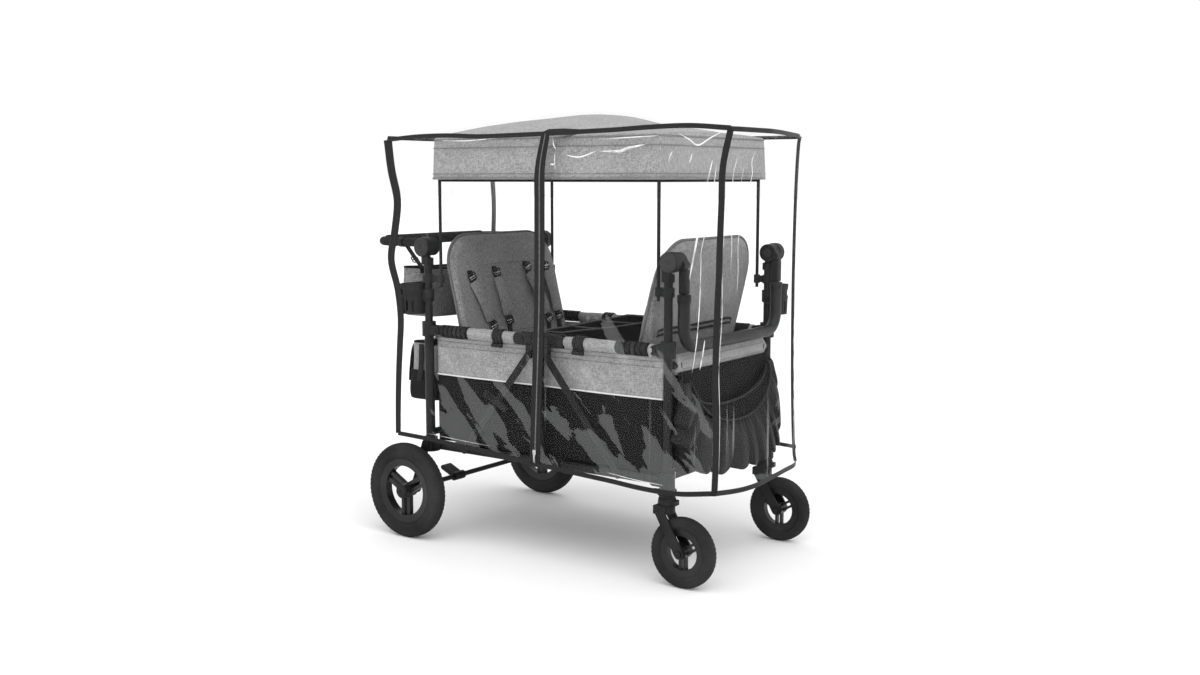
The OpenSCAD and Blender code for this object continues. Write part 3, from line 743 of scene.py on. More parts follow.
def make_brace_details(side, s):
    """Ridge and rivets on each brace, and the lock tab on the rear one."""
    for tag, t in (("rear", -1), ("front", 1)):
        top = Vector((MID_X + t * BRACE_DX, 0, RAIL_Z - BRACE_DROP))
        foot = Vector((MID_X + t * 0.29, 0, LOW_Z + 0.002))
        run = (foot - top).normalized()
        y = s * (high(f"braces_{tag}").y + 0.0008)
        parts = []
        if t < 0:
            spot = top.lerp(foot, 0.48) + Vector((0, y, 0))
            across = Vector((-run.z, 0, run.x))
            ends = [spot + across * 0.045 - run * 0.006, spot - across * 0.05 + run * 0.01]
            parts.append(sweep(
                "tab", spline([ends[1], spot, ends[0]], 10), flat(0.022, 0.0032), MOULD, up=(0, s, 0)
            ))
            for k in (0.020, 0.036):
                parts.append(lathe(
                    "hole",
                    [(0, 0.0005), (0.0035, 0.0005), (0.0048, 0.0022), (0.006, 0.0005), (0.006, 0), (0, 0)],
                    spot - across * k + Vector((0, s * 0.0014, 0)), (0, s, 0), RUBBER, 16
                ))
        for k in (0.30, 0.62):
            spot = top.lerp(foot, k) + Vector((0, y - s * 0.0006, 0))
            parts.append(make_bolt("rivet", spot, (0, s, 0), 0.0042, 0.002))
        ridge = [top.lerp(foot, 0.06) + Vector((0, y, 0)), top.lerp(foot, 0.94) + Vector((0, y, 0))]
        parts.append(sweep("ridge", ridge, flat(0.007, 0.0016), COAT, up=(0, s, 0)))
        place(join(f"brace_detail_{tag}_{side}", parts), f"brace_{tag}")


def make_pull_arm_details(side, s):
    """Adjuster holes, channel and collar of one telescopic arm."""
    arm_x = (low("pull_handle").x + high("pull_handle").x) / 2
    arm_y = s * (high("pull_handle").y - 0.0175)
    sleeve_top = high("pull_handle").z
    holes = []
    for k in range(4):
        for ax in ((0, s, 0), (1, 0, 0)):
            ax = Vector(ax).normalized()
            at = Vector((arm_x, arm_y, sleeve_top + 0.012 + k * 0.013)) + ax * 0.0122
            holes.append(lathe(
                "hole", [(0, 0.0001), (0.0024, 0.0001), (0.0030, 0.0009), (0.0036, 0.0005), (0.0036, 0), (0, 0)],
                at, ax, RUBBER, 14
            ))
    place(join(f"adjuster_holes_{side}", holes), "pull_arms")
    top_z = middle("pull_button_left").z - 0.020
    channel = slab(
        "channel", (arm_x - 0.0125, arm_y - 0.0120, sleeve_top + 0.0045), (arm_x + 0.0125, arm_y + 0.0120, top_z),
        COAT, 0.004, 3
    )
    place(join(f"pull_channel_{side}", [channel]), "pull_arms")
    collar = lathe(
        f"pull_collar_{side}",
        [
            (0.0176, -0.020), (0.0195, -0.019), (0.0198, 0.000), (0.0188, 0.0028), (0.0094, 0.0032),
            (0.0094, 0.0010), (0.0176, -0.002)
        ],
        (arm_x, arm_y, sleeve_top), (0, 0, 1), MOULD, 36, True,
    )
    place(collar, "pull_handle")


def make_push_rings(side, s):
    """Joints in the push handle's foam and end rings."""
    rings = []
    hx, hz = low("push_handle").x, middle("push_button_left").z + 0.011
    for x in (hx + 0.098, hx + 0.138, hx + 0.205):
        rings.append(lathe(
            "ring", [(0.0138, -0.0022), (0.0150, -0.0016), (0.0150, 0.0016), (0.0138, 0.0022)],
            (x, s * PUSH_ARM_Y, hz), (1, 0, 0), MOULD, 32, True
        ))
    place(join(f"push_arm_rings_{side}", rings), "push_handle")


def make_caster_details(side, s):
    """Swivel lock with its ribbed collar, and the fork's crown."""
    z0 = low("caster_housings").z
    knuckle = [
        lathe(
            "collar",
            [
                (0.0235, 0.001), (0.0268, 0.002), (0.0276, 0.007), (0.0262, 0.0085), (0.0262, 0.0105),
                (0.0276, 0.012), (0.0270, 0.017), (0.0236, 0.0186)
            ],
            (FRONT_X, s * SIDE_Y, z0), (0, 0, 1), MOULD, 40, True
        ),
        slab(
            "lever", (FRONT_X - 0.050, s * SIDE_Y - 0.011, z0 + 0.003),
            (FRONT_X - 0.020, s * SIDE_Y + 0.011, z0 + 0.013), MOULD, 0.003, 3
        ),
    ]
    place(join(f"swivel_lock_{side}", knuckle), "front_frame")
    crown = [
        lathe(
            "skirt", [(0.0225, 0), (0.0262, 0.001), (0.0268, 0.010), (0.0250, 0.022), (0.0225, 0.024)],
            (FRONT_X, s * SIDE_Y, z0 - 0.029), (0, 0, 1), MOULD, 40, True
        ),
        slab(
            "catch", (FRONT_X + 0.018, s * SIDE_Y - 0.012, z0 - 0.026),
            (FRONT_X + 0.034, s * SIDE_Y + 0.012, z0 - 0.010), MOULD, 0.003, 3
        ),
    ]
    for t in (-1, 1):
        crown.append(make_bolt(
            "screw", (FRONT_X - 0.014, s * SIDE_Y + t * 0.0275, z0 - 0.038), (0, t, 0), 0.0055, 0.002
        ))
    place(join(f"caster_crown_{side}", crown), f"caster_{side}")


def make_cup_holder(name, node, body, post_x, s):
    """Ring, window wall and slotted cup, clamped to a post. s is the wagon's side, -1 or 1."""
    lo, hi = low(node), high(node)
    r = 0.042 if s < 0 else 0.034
    cx, cy = (lo.x + r, lo.y + r) if s < 0 else (post_x + 0.010, hi.y - r)
    toward = math.atan2(cy - s * SIDE_Y, cx - post_x)
    z0, z1 = lo.z, hi.z
    height = z1 - z0
    around, up = 72, 30
    verts, faces = [], []
    for j in range(up + 1):
        v = j / up
        flare = r * (0.90 + 0.10 * v) + (0.0012 if v > 0.93 else 0.0) + (0.0010 if 0.50 < v < 0.60 else 0.0)
        flare = min(flare, r)
        for i in range(around):
            a = 2 * math.pi * i / around
            tip = 0.006 * math.cos(a - toward) if v > 0.98 else 0.0
            verts.append((cx + flare * math.cos(a), cy + flare * math.sin(a), z0 + v * height - max(tip, 0) * 0.8))
    for j in range(up):
        v = (j + 0.5) / up
        for i in range(around):
            a = (2 * math.pi * (i + 0.5) / around - toward + math.pi) % (2 * math.pi) - math.pi
            window = 0.60 < v < 0.80 and 0.45 < abs(a) < 1.25
            slots = 0.06 < v < 0.44 and (abs(a) * 6 / math.pi) % 1.0 < 0.34 and abs(a) < 2.2
            if not (window or slots):
                i2 = (i + 1) % around
                faces.append((j * around + i, j * around + i2, (j + 1) * around + i2, (j + 1) * around + i))
    wall = thicken(tidy(build("wall", verts, faces, MOULD)), 0.0032)
    wall = bevel(wall, 0.0008, 1, 50)
    base = lathe(
        "base", [(0, 0), (r * 0.88, 0), (r * 0.90, 0.002), (r * 0.90, 0.005), (0, 0.005)], (cx, cy, z0), UPWARD,
        MOULD, 48
    )
    parts = [wall, base]
    post = Vector((post_x, s * SIDE_Y, 0))
    out = (Vector((cx, cy, 0)) - post).normalized()
    clamp_z = z0 + 0.040
    band = lathe(
        "clamp", [(0.0127, 0), (0.0180, 0.001), (0.0185, 0.038), (0.0127, 0.040)], (post.x, post.y, clamp_z), UPWARD,
        MOULD, 40, True
    )
    parts.append(band)
    side = Vector((-out.y, out.x, 0))
    corners = []
    for d in (0.0150, (Vector((cx, cy, 0)) - post).length - r + 0.003):
        for w in (-0.011, 0.011):
            corners.append(post + out * d + side * w)
    verts = [c + Vector((0, 0, clamp_z + dz)) for c in corners for dz in (0.004, 0.034)]
    parts.append(bevel(tidy(build("arm", verts, BOX_FACES, MOULD)), 0.002, 2))
    place(join(name, parts), body, [node])


# ---------------------------------------------------------------- tub

def near_wall(s, x, z, extra=0.0):
    """Place on the tub's side cloth: flat by the posts and the hub, full between them."""
    span = FRONT_X - MID_X
    t = abs(x - MID_X) / span
    full = math.sin(math.pi * clamp((t - 0.04) / 0.90)) ** 0.7 if 0.04 < t < 0.94 else 0.0
    up = clamp((z - low("tub_rear").z) / (high("tub_rear").z - low("tub_rear").z))
    swell = full * 0.0055 * math.sin(math.pi * up) ** 0.8
    lean = 0.0175 * full ** 0.6 * clamp((z - 0.622) / 0.024) ** 1.5
    crease = full * 0.0024 * ripple((x, 0, z * 0.5), 9.0, s + 2.0) + full * 0.0012 * ripple((x * 2, 0, z), 22.0, s)
    return Vector((x, s * (high("tub_rear").y - 0.0004 + swell + lean + crease + extra), z))


SEAM_Z = 0.527  # seam between the black panels and the light band
TOP_Z = 0.646  # top of the light band, at the rails


def make_tub():
    z0 = low("tub_rear").z
    for side, s in SIDES:
        for tag, x0, x1, frame_body, rail_body, fold in (
            ("rear", low("tub_rear").x - 0.001, MID_X - 0.0015, "rear_frame", "rear_rails", FOLD_REAR),
            ("front", MID_X + 0.0015, high("tub_front").x + 0.001, "front_frame", "front_rails", FOLD_FRONT),
        ):
            panel = surface(
                f"tub_panel_{tag}_{side}",
                lambda u, v: near_wall(s, x0 + (x1 - x0) * u, z0 + (SEAM_Z + 0.003 - z0) * v, -0.0012),
                70, 36, BLACK_CLOTH,
            )
            thicken(panel, 0.0012, 1.0 if s > 0 else -1.0)
            place(panel, frame_body, [f"tub_{tag}"] if s < 0 else (), fold)
            band = surface(
                f"tub_band_{tag}_{side}",
                lambda u, v: near_wall(s, x0 + (x1 - x0) * u, SEAM_Z + (TOP_Z - SEAM_Z) * v, 0.0008),
                80, 24, LIGHT_CLOTH,
            )
            thicken(band, 0.0014, 1.0 if s > 0 else -1.0)
            y = s * SIDE_Y
            place(
                band, frame_body,
                blend=(frame_body, rail_body, (0, y, SEAM_Z + 0.004), (0, y, TOP_Z - 0.012)),
            )
            line = [near_wall(s, x0 + (x1 - x0) * k / 60, SEAM_Z, 0.0018) for k in range(61)]
            place(
                sweep(f"tub_piping_{tag}_{side}", line, ring(0.0024, 8), PIPING), frame_body,
                squash=fold
            )
            # seams under the rail
            seams = []
            for z, lift in ((0.6335, 0.0016), (0.6165, 0.0014)):
                path = [near_wall(s, x0 + 0.004 + (x1 - x0 - 0.008) * k / 60, z, lift) for k in range(61)]
                seams.append(sweep("seam", path, flat(0.0016, 0.0011), SEAM, up=(0, s, 0)))
            seams = join(f"tub_seams_{tag}_{side}", seams)
            place(
                seams, frame_body,
                blend=(frame_body, rail_body, (0, y, SEAM_Z + 0.004), (0, y, TOP_Z - 0.012))
            )
            make_rail_sleeves(tag, side, s, rail_body)
    make_tub_ends()


def make_floor_cloth():
    """Cloth floor across the middle, between the two boards."""
    x0, x1 = high("floor_rear").x + 0.001, low("floor_front").x - 0.001
    half, z = high("floor_rear").y - 0.004, low("floor_rear").z + 0.0045

    def point(u, v):
        x, y = x0 + (x1 - x0) * u, -half + 2 * half * v
        return (x, y, z + 0.0012 * ripple((x, y, 0), 12.0, 3.0))

    floor = thicken(tidy(surface("floor_cloth", point, 24, 60, BLACK_CLOTH)), 0.0012, 0)
    place(floor, "centre")


def make_rail_sleeves(tag, side, s, rail_body):
    """Light cloth wrapped over the rail between the grip and the hub, with the strap clip on it."""
    grips = f"{tag}_grips"
    hub_end = MID_X - 0.093 if tag == "rear" else MID_X + 0.093
    spans = {
        "rear": [(high(grips).x + 0.001, hub_end - 0.001)],
        "front": [(hub_end + 0.001, low(grips).x - 0.001), (high(grips).x + 0.001, high(grips).x + 0.016)],
    }[tag]
    y, r = s * SIDE_Y, 0.0150
    for k, (xa, xb) in enumerate(spans):

        def point(u, v):
            a = math.radians(-62 + 304 * u)
            x = xa + (xb - xa) * v
            rr = r + 0.0016 * ripple((x, a * 0.02, 0), 30.0, 3.0) + 0.0012 * math.sin(math.pi * v)
            z = RAIL_Z + rr * math.sin(a)
            yy = y + s * rr * math.cos(a)
            if u < 0.06 or u > 0.94:
                z -= 0.006 if u < 0.001 or u > 0.999 else 0.002
            return (x, yy, z)

        sleeve = surface(f"rail_sleeve_{tag}_{side}_{k}", point, 40, max(6, int((xb - xa) / 0.006)), LIGHT_CLOTH)
        tidy(sleeve)
        thicken(sleeve, 0.0012, 0)
        place(sleeve, rail_body)
    clip_x = MID_X - 0.156 if tag == "rear" else MID_X + 0.1475
    path = []
    for k in range(25):
        a = math.radians(-48 + 282 * k / 24)
        path.append((clip_x, y + s * 0.0180 * math.cos(a), RAIL_Z + 0.0186 * math.sin(a)))
    path = [(clip_x, y + s * 0.0146, RAIL_Z - 0.026)] + path + [(clip_x, y - s * 0.0140, RAIL_Z - 0.022)]
    outward = (0, s, 0)
    parts = [sweep("strap", path, flat(0.040, 0.0036), MOULD, up=outward)]
    for dx in (-0.0125, 0.0, 0.0125):
        rib = [(p[0] + dx, y + (p[1] - y) * 1.10, RAIL_Z + (p[2] - RAIL_Z) * 1.10) for p in path]
        parts.append(sweep("rib", rib, flat(0.0075, 0.0030, 0.4), MOULD, up=outward))
    foot = slab(
        "foot", (clip_x - 0.021, y + s * 0.0155 - 0.005, RAIL_Z - 0.034),
        (clip_x + 0.021, y + s * 0.0155 + 0.005, RAIL_Z - 0.023), MOULD, 0.003, 3
    )
    place(join(f"strap_clip_{tag}_{side}", parts + [foot]), rail_body)


def make_tub_ends():
    z0 = low("tub_rear").z
    for tag, x, body, t in (
        ("rear", low("tub_rear").x, "rear_frame", -1), ("front", high("tub_front").x, "front_frame", 1),
    ):
        half = high("tub_rear").y - 0.003

        def wall(u, v):
            y = -half + 2 * half * u
            z = z0 + (0.640 - z0) * v
            belly = t * 0.004 * math.sin(math.pi * u) * math.sin(math.pi * v)
            return (x + belly + 0.002 * ripple((0, y, z), 8.0, t), y, z)

        piece = thicken(tidy(surface(f"tub_end_{tag}", wall, 60, 36, BLACK_CLOTH)), 0.0012, 0)
        place(piece, body)
        # light sleeve round the upper cross tube, with rounded ends
        tube_x = REAR_X if tag == "rear" else FRONT_X
        tube_z = CROSS_Z
        span = SIDE_Y - 0.031

        def loop(u, v):
            a = 2 * math.pi * u
            y = -span + 2 * span * v
            tall = 0.0290 * min(1.0, math.sqrt(max(0.0, 1 - (max(0.0, abs(y) - span + 0.020) / 0.0205) ** 2)) + 0.12)
            fold = 0.0010 * ripple((a * 0.01, y, 0), 25, t)
            return (tube_x + (0.0140 + fold) * math.cos(a), y, tube_z + (tall + fold) * math.sin(a))

        sleeve = tidy(surface(f"end_sleeve_{tag}", loop, 28, 90, LIGHT_CLOTH, wrap_u=True))
        thicken(sleeve, 0.0012, 0)
        place(sleeve, body)
        marks = []
        for s in (-1, 1):
            at = Vector((tube_x + t * 0.0146, s * (span - 0.018), tube_z))
            marks.append(sweep(
                "slot", [at - Vector((0, 0, 0.008)), at + Vector((0, 0, 0.008))], flat(0.0045, 0.0016), SEAM_DARK,
                up=(t, 0, 0)
            ))
        for dz in (-0.012, 0.013):
            path = [(tube_x + t * 0.0134, -span + 0.02 + (2 * span - 0.04) * k / 30, tube_z + dz) for k in range(31)]
            marks.append(sweep("seam", path, flat(0.0014, 0.0012), SEAM, up=(t, 0, 0)))
        place(join(f"end_sleeve_marks_{tag}", marks), body)


# ---------------------------------------------------------------- padded seats

def seat_outline(half, length, corner, n=14):
    """Seat back's outline in its own plane: across and up from the foot."""
    points = [(-half, 0.0), (half, 0.0)]
    for k in range(n + 1):
        a = math.radians(90 * k / n)
        points.append((half - corner + corner * math.cos(a), length - corner + corner * math.sin(a)))
    for k in range(n + 1):
        a = math.radians(90 + 90 * k / n)
        points.append((-half + corner + corner * math.cos(a), length - corner + corner * math.sin(a)))
    return points


def make_seat(tag, t):
    """t is -1 for the rear seat, which faces forwards, and 1 for the front one."""
    node, body = f"seat_back_{tag}", f"seat_{tag}"
    foot_x = (REAR_X + 0.140) if tag == "rear" else (FRONT_X - 0.140)
    foot = Vector((foot_x, 0, 0.600))
    lean = math.radians(14)
    up = Vector((t * math.sin(lean), 0, math.cos(lean)))
    inward = Vector((-t * math.cos(lean), 0, math.sin(lean)))
    half, length, corner = 0.268, 0.376, 0.108
    arch = 0.014 if t < 0 else 0.034
    outline = seat_outline(half - 0.003, length - 0.003, corner)

    def spot(y, h, depth=0.0):
        crown = 1 + arch * math.cos(math.pi * min(1.0, abs(y) / half) / 2)
        return foot + up * (h * crown) + Vector((0, y, 0)) + inward * depth

    verts = [spot(y, h, -0.003) for y, h in outline] + [spot(y, h, -0.019) for y, h in outline]
    n = len(outline)
    faces = [tuple(range(n)), tuple(reversed(range(n, 2 * n)))]
    faces += [(k, n + k, n + (k + 1) % n, (k + 1) % n) for k in range(n)]
    pad = puff(tidy(build(f"seat_pad_{tag}", verts, faces, SEAT_CLOTH)), inward, 0.0085)
    pad.name = f"seat_pad_{tag}"
    place(pad, body, [node])
    rim = [spot(y, h + (0.0 if h else 0.002), -0.011) for y, h in seat_outline(half, length, corner)]
    piping = sweep(f"seat_piping_{tag}", rim, ring(0.0042, 10), SEAT_EDGE, up=(0, 1, 0.2), closed=True)
    place(piping, body)
    # stitched lines, pocket edge on the back, and the harness
    front_face, back_face = 0.0030, -0.0265
    lines = []
    for h0, depth in ((0.268, front_face), (0.045, front_face)):
        path = [
            spot(
                -half + 0.03 + (2 * half - 0.06) * k / 40, h0 + 0.004 * math.sin(math.pi * k / 40),
                depth + 0.0036 * math.sin(math.pi * k / 40)
            )
            for k in range(41)
        ]
        lines.append(sweep("seam", path, flat(0.0018, 0.0014), SEAT_EDGE, up=inward))
    place(join(f"seat_seams_{tag}", lines), body)
    cords = []
    for dh in (0.0, 0.015):
        path = spline([
            spot(-0.215, 0.100 + dh * 0.4, back_face + 0.003), spot(-0.198, 0.106 + dh, back_face - 0.001),
            spot(-0.07, 0.104 + dh, back_face - 0.004), spot(0.07, 0.104 + dh, back_face - 0.004),
            spot(0.198, 0.106 + dh, back_face - 0.001), spot(0.215, 0.100 + dh * 0.4, back_face + 0.003),
        ], 60)
        cords.append(sweep("cord", path, ring(0.0036, 10), WEBBING))
    place(join(f"seat_pocket_edge_{tag}", cords), body)
    for k, (y0, h0, y1, h1) in enumerate((
        (-0.186, 0.222, -0.140, 0.088), (-0.066, 0.228, -0.052, 0.098),
        (0.102, 0.236, 0.152, 0.088), (0.198, 0.236, 0.214, 0.092),
    )):
        make_harness(f"harness_{tag}_{k}", body, spot, inward, t, (y0, h0), (y1, h1))


def make_harness(name, body, spot, inward, t, top, bottom):
    """Padded shoulder strap, its webbing, and an adjuster at each end."""
    y0, h0 = top
    y1, h1 = bottom
    if t > 0:
        y0, y1 = -y0, -y1

    def on(k, lift):
        return spot(y0 + (y1 - y0) * k, h0 + (h1 - h0) * k, 0.0045 + lift)

    path = [on(k / 18, 0.0072 + 0.006 * math.sin(math.pi * k / 18)) for k in range(19)]
    pad = sweep(
        "pad", path, flat(0.050, 0.0125, 0.42), SEAT_CLOTH, up=inward, grow=lambda u: 1.0 - 0.10 * (2 * u - 1) ** 8
    )
    pad = refine(pad)
    parts = [pad]
    up_end = spot(y0 - (y1 - y0) * 0.10, h0 + 0.052, 0.002)
    parts.append(sweep(
        "web", spline([up_end, on(-0.10, 0.004), on(0.05, 0.008)], 12), flat(0.026, 0.0016), WEBBING, up=inward
    ))
    down_end = spot(y1 + (y1 - y0) * 0.04, h1 - 0.075, 0.003)
    parts.append(sweep(
        "web", spline([on(0.95, 0.009), on(1.08, 0.008), down_end], 12), flat(0.024, 0.0016), WEBBING, up=inward
    ))
    along = (on(1, 0) - on(0, 0)).normalized()
    across = along.cross(inward).normalized()
    for at in (on(-0.105, 0.0085), on(1.115, 0.0095)):
        loop = [at + across * a * 0.0165 + along * b * 0.0115 for a, b in CORNERS]
        parts.append(sweep("frame", buckle_ring(loop), ring(0.0022, 8), MOULD, up=inward, closed=True))
        parts.append(sweep("bar", [at - across * 0.0165, at + across * 0.0165], ring(0.0024, 8), STEEL, up=inward))
        parts.append(sweep(
            "bar", [at - across * 0.0165 + along * 0.007, at + across * 0.0165 + along * 0.007], ring(0.0014, 8),
            STEEL, up=inward
        ))
    place(join(name, parts), body)


def make_benches():
    for tag, body, fold in (("rear", "rear_frame", FOLD_REAR), ("front", "front_frame", FOLD_FRONT)):
        lo, hi = low(f"bench_{tag}"), high(f"bench_{tag}")
        core = slab(
            f"bench_pad_{tag}", lo + Vector((0.008, 0.006, 0.007)), hi - Vector((0.008, 0.010, 0.007)), SEAT_CLOTH,
            0.006, 2
        )
        pad = puff(core, UPWARD, 0.0075, 0.006)
        place(pad, body, [f"bench_{tag}"], fold)
        edge = [
            (lo.x + 0.006, lo.y + 0.005), (hi.x - 0.006, lo.y + 0.005), (hi.x - 0.006, hi.y - 0.005),
            (lo.x + 0.006, hi.y - 0.005)
        ]
        z = (lo.z + hi.z) / 2
        path = []
        for k in range(4):
            p, q = Vector((*edge[k], z)), Vector((*edge[(k + 1) % 4], z))
            path += [p.lerp(q, f) for f in (0.02, 0.2, 0.4, 0.6, 0.8, 0.98)]
        place(
            sweep(f"bench_piping_{tag}", path, ring(0.0035, 8), SEAT_EDGE, closed=True), body,
            squash=fold
        )


# ---------------------------------------------------------------- bags

def bag(name, lo, hi, material, rim_material, body, node, bulge=0.010, sag=0.010, wall=0.004, power=7.0):
    """Open bag: a lofted shell whose walls belly out and whose rim dips between its corners."""
    cx, cy = (lo[0] + hi[0]) / 2, (lo[1] + hi[1]) / 2
    hx, hy = (hi[0] - lo[0]) / 2, (hi[1] - lo[1]) / 2
    z0, z1 = lo[2], hi[2]
    tall = z1 - z0
    rows = [(0.02, 0.0, 0), (0.5, 0.0, 0), (0.88, 0.0, 0), (0.96, 0.012, 0), (0.985, 0.04, 0)]
    rows += [(1.0, 0.08 + 0.92 * k / 14, 0) for k in range(15)]
    rows += [(1.0, 1.0 - 0.9 * k / 8, 1) for k in range(9)]
    rows += [(0.94, 0.06, 1), (0.5, 0.05, 1), (0.02, 0.05, 1)]

    def plan(u, scale, inset):
        a = 2 * math.pi * u
        c, s = math.cos(a), math.sin(a)
        ex = math.copysign(abs(c) ** (2 / power), c)
        ey = math.copysign(abs(s) ** (2 / power), s)
        return (hx - inset) * scale * ex, (hy - inset) * scale * ey

    def point(u, v):
        scale, f, inner = rows[int(round(v * (len(rows) - 1)))]
        px, py = plan(u, scale, wall if inner else 0.0)
        swell = bulge * math.sin(math.pi * min(f, 1.0)) ** 0.8 if scale > 0.9 else 0.0
        nx, ny = px / hx, py / hy
        edge = max(abs(nx), abs(ny)) ** 4
        px += math.copysign(swell * abs(nx) ** 3, px) * (1 - abs(ny) ** 6)
        py += math.copysign(swell * 0.5 * abs(ny) ** 3, py) * (1 - abs(nx) ** 6)
        dip = sag * f ** 3 * (1 - ny * ny) * edge
        droop = -0.5 * sag * (1 - f) * (1 - ny * ny)
        wave = 0.0022 * ripple((px, py, f * tall), 18.0, len(name)) * (1 if scale > 0.9 else 0)
        return (cx + px + wave, cy + py + wave * 0.5, z0 + f * tall - dip + droop)

    piece = tidy(surface(name, point, 120, len(rows) - 1, material, wrap_u=True))
    place(piece, body, [node] if node else ())
    rim = []
    for k in range(120):
        px, py = plan(k / 120, 1.0, wall / 2)
        ny, nx = py / hy, px / hx
        rim.append((cx + px, cy + py, z1 - sag * (1 - ny * ny) * max(abs(nx), abs(ny)) ** 4 + 0.001))
    place(sweep(f"{name}_rim", rim, ring(0.0036, 8), rim_material, closed=True), body)
    return piece


def make_bags():
    lo, hi = low("console_bag"), high("console_bag")
    bag(
        "console_bag_shell", lo, hi, SEAT_CLOTH, BLACK_CLOTH, "rear_frame", "console_bag", 0.008, 0.008
    )
    flap = [
        (lo.x - 0.004 - 0.006 * math.sin(math.pi * k / 30), lo.y + 0.02 + (hi.y - lo.y - 0.04) * k / 30, lo.z + 0.052)
        for k in range(31)
    ]
    place(sweep("console_seam", flap, flat(0.003, 0.0022), SEAT_EDGE, up=(-1, 0, 0)), "rear_frame")
    lo, hi = low("storage_bag"), high("storage_bag")
    cut = lo.z + (hi.z - lo.z) * 0.50
    upper_lo = Vector((lo.x + 0.003, lo.y + 0.003, lo.z + 0.004))
    bag(
        "storage_bag_shell", upper_lo, hi, LIGHT_CLOTH, BLACK_CLOTH, "rear_frame", "storage_bag",
        0.007, 0.012
    )
    bag(
        "storage_pocket_shell", lo - Vector((0.006, 0.004, 0.0)), Vector((hi.x - 0.004, hi.y + 0.004, cut)),
        BLACK_CLOTH, BLACK_CLOTH, "rear_frame", None, 0.012, 0.006,
    )
    straps = []
    for y in (lo.y + 0.035, 0.0, hi.y - 0.035):
        path = spline([(hi.x - 0.06, y, hi.z + 0.002), (lo.x + 0.02, y, hi.z + 0.001), (lo.x - 0.006, y, hi.z - 0.02),
                       (lo.x - 0.019, y, cut + 0.01), (lo.x - 0.024, y, cut - 0.04)], 30)
        straps.append(sweep("strap", path, flat(0.022, 0.0018), WEBBING, up=(0, 0, 1)))
    for s in (-1, 1):
        y = s * (hi.y + 0.0045)
        path = spline(
            [
                (middle("storage_bag").x, y, hi.z - 0.004), (middle("storage_bag").x, y + s * 0.004, cut + 0.02),
                (middle("storage_bag").x - 0.004, y + s * 0.008, cut - 0.03)
            ],
            14
        )
        straps.append(sweep("strap", path, flat(0.022, 0.0018), WEBBING, up=(0, s, 0)))
    place(join("storage_straps", straps), "rear_frame")
    top = high("console_bag").z
    for side, s in SIDES:
        y = s * 0.262
        start, end = Vector((-0.466, y, top - 0.015)), Vector((-0.533, y, 0.930))
        path = spline(
            [
                start, start + Vector((-0.004, s * 0.001, 0.018)), start.lerp(end, 0.55) + Vector((0.004, 0, 0.0)),
                end + Vector((0.006, 0, -0.008)), end
            ],
            24
        )
        strap = sweep(f"console_strap_{side}", path, flat(0.021, 0.0018), WEBBING, up=(1, 0, 0.6))
        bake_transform(strap)
        wrap = lathe(
            f"console_loop_{side}", [(0.0142, -0.0105), (0.0162, -0.0105), (0.0162, 0.0105), (0.0142, 0.0105)],
            (-0.533, s * PUSH_ARM_Y, 0.942), ALONG, WEBBING, 28, True
        )
        place(wrap, "push_handle")
        at = start.lerp(end, 0.5) + Vector((0.003, 0, 0))
        along = (end - start).normalized()
        across = Vector((0, 1, 0))
        normal = along.cross(across)
        loop = [at + across * a * 0.014 + along * b * 0.010 + normal * 0.002 for a, b in CORNERS]
        buckle = join(f"console_buckle_{side}", [
            sweep("frame", buckle_ring(loop), ring(0.0020, 8), MOULD, up=normal, closed=True),
            sweep(
                "bar", [at - across * 0.014 + normal * 0.002, at + across * 0.014 + normal * 0.002], ring(0.0020, 8),
                STEEL, up=normal
            ),
        ])
        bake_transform(buckle)


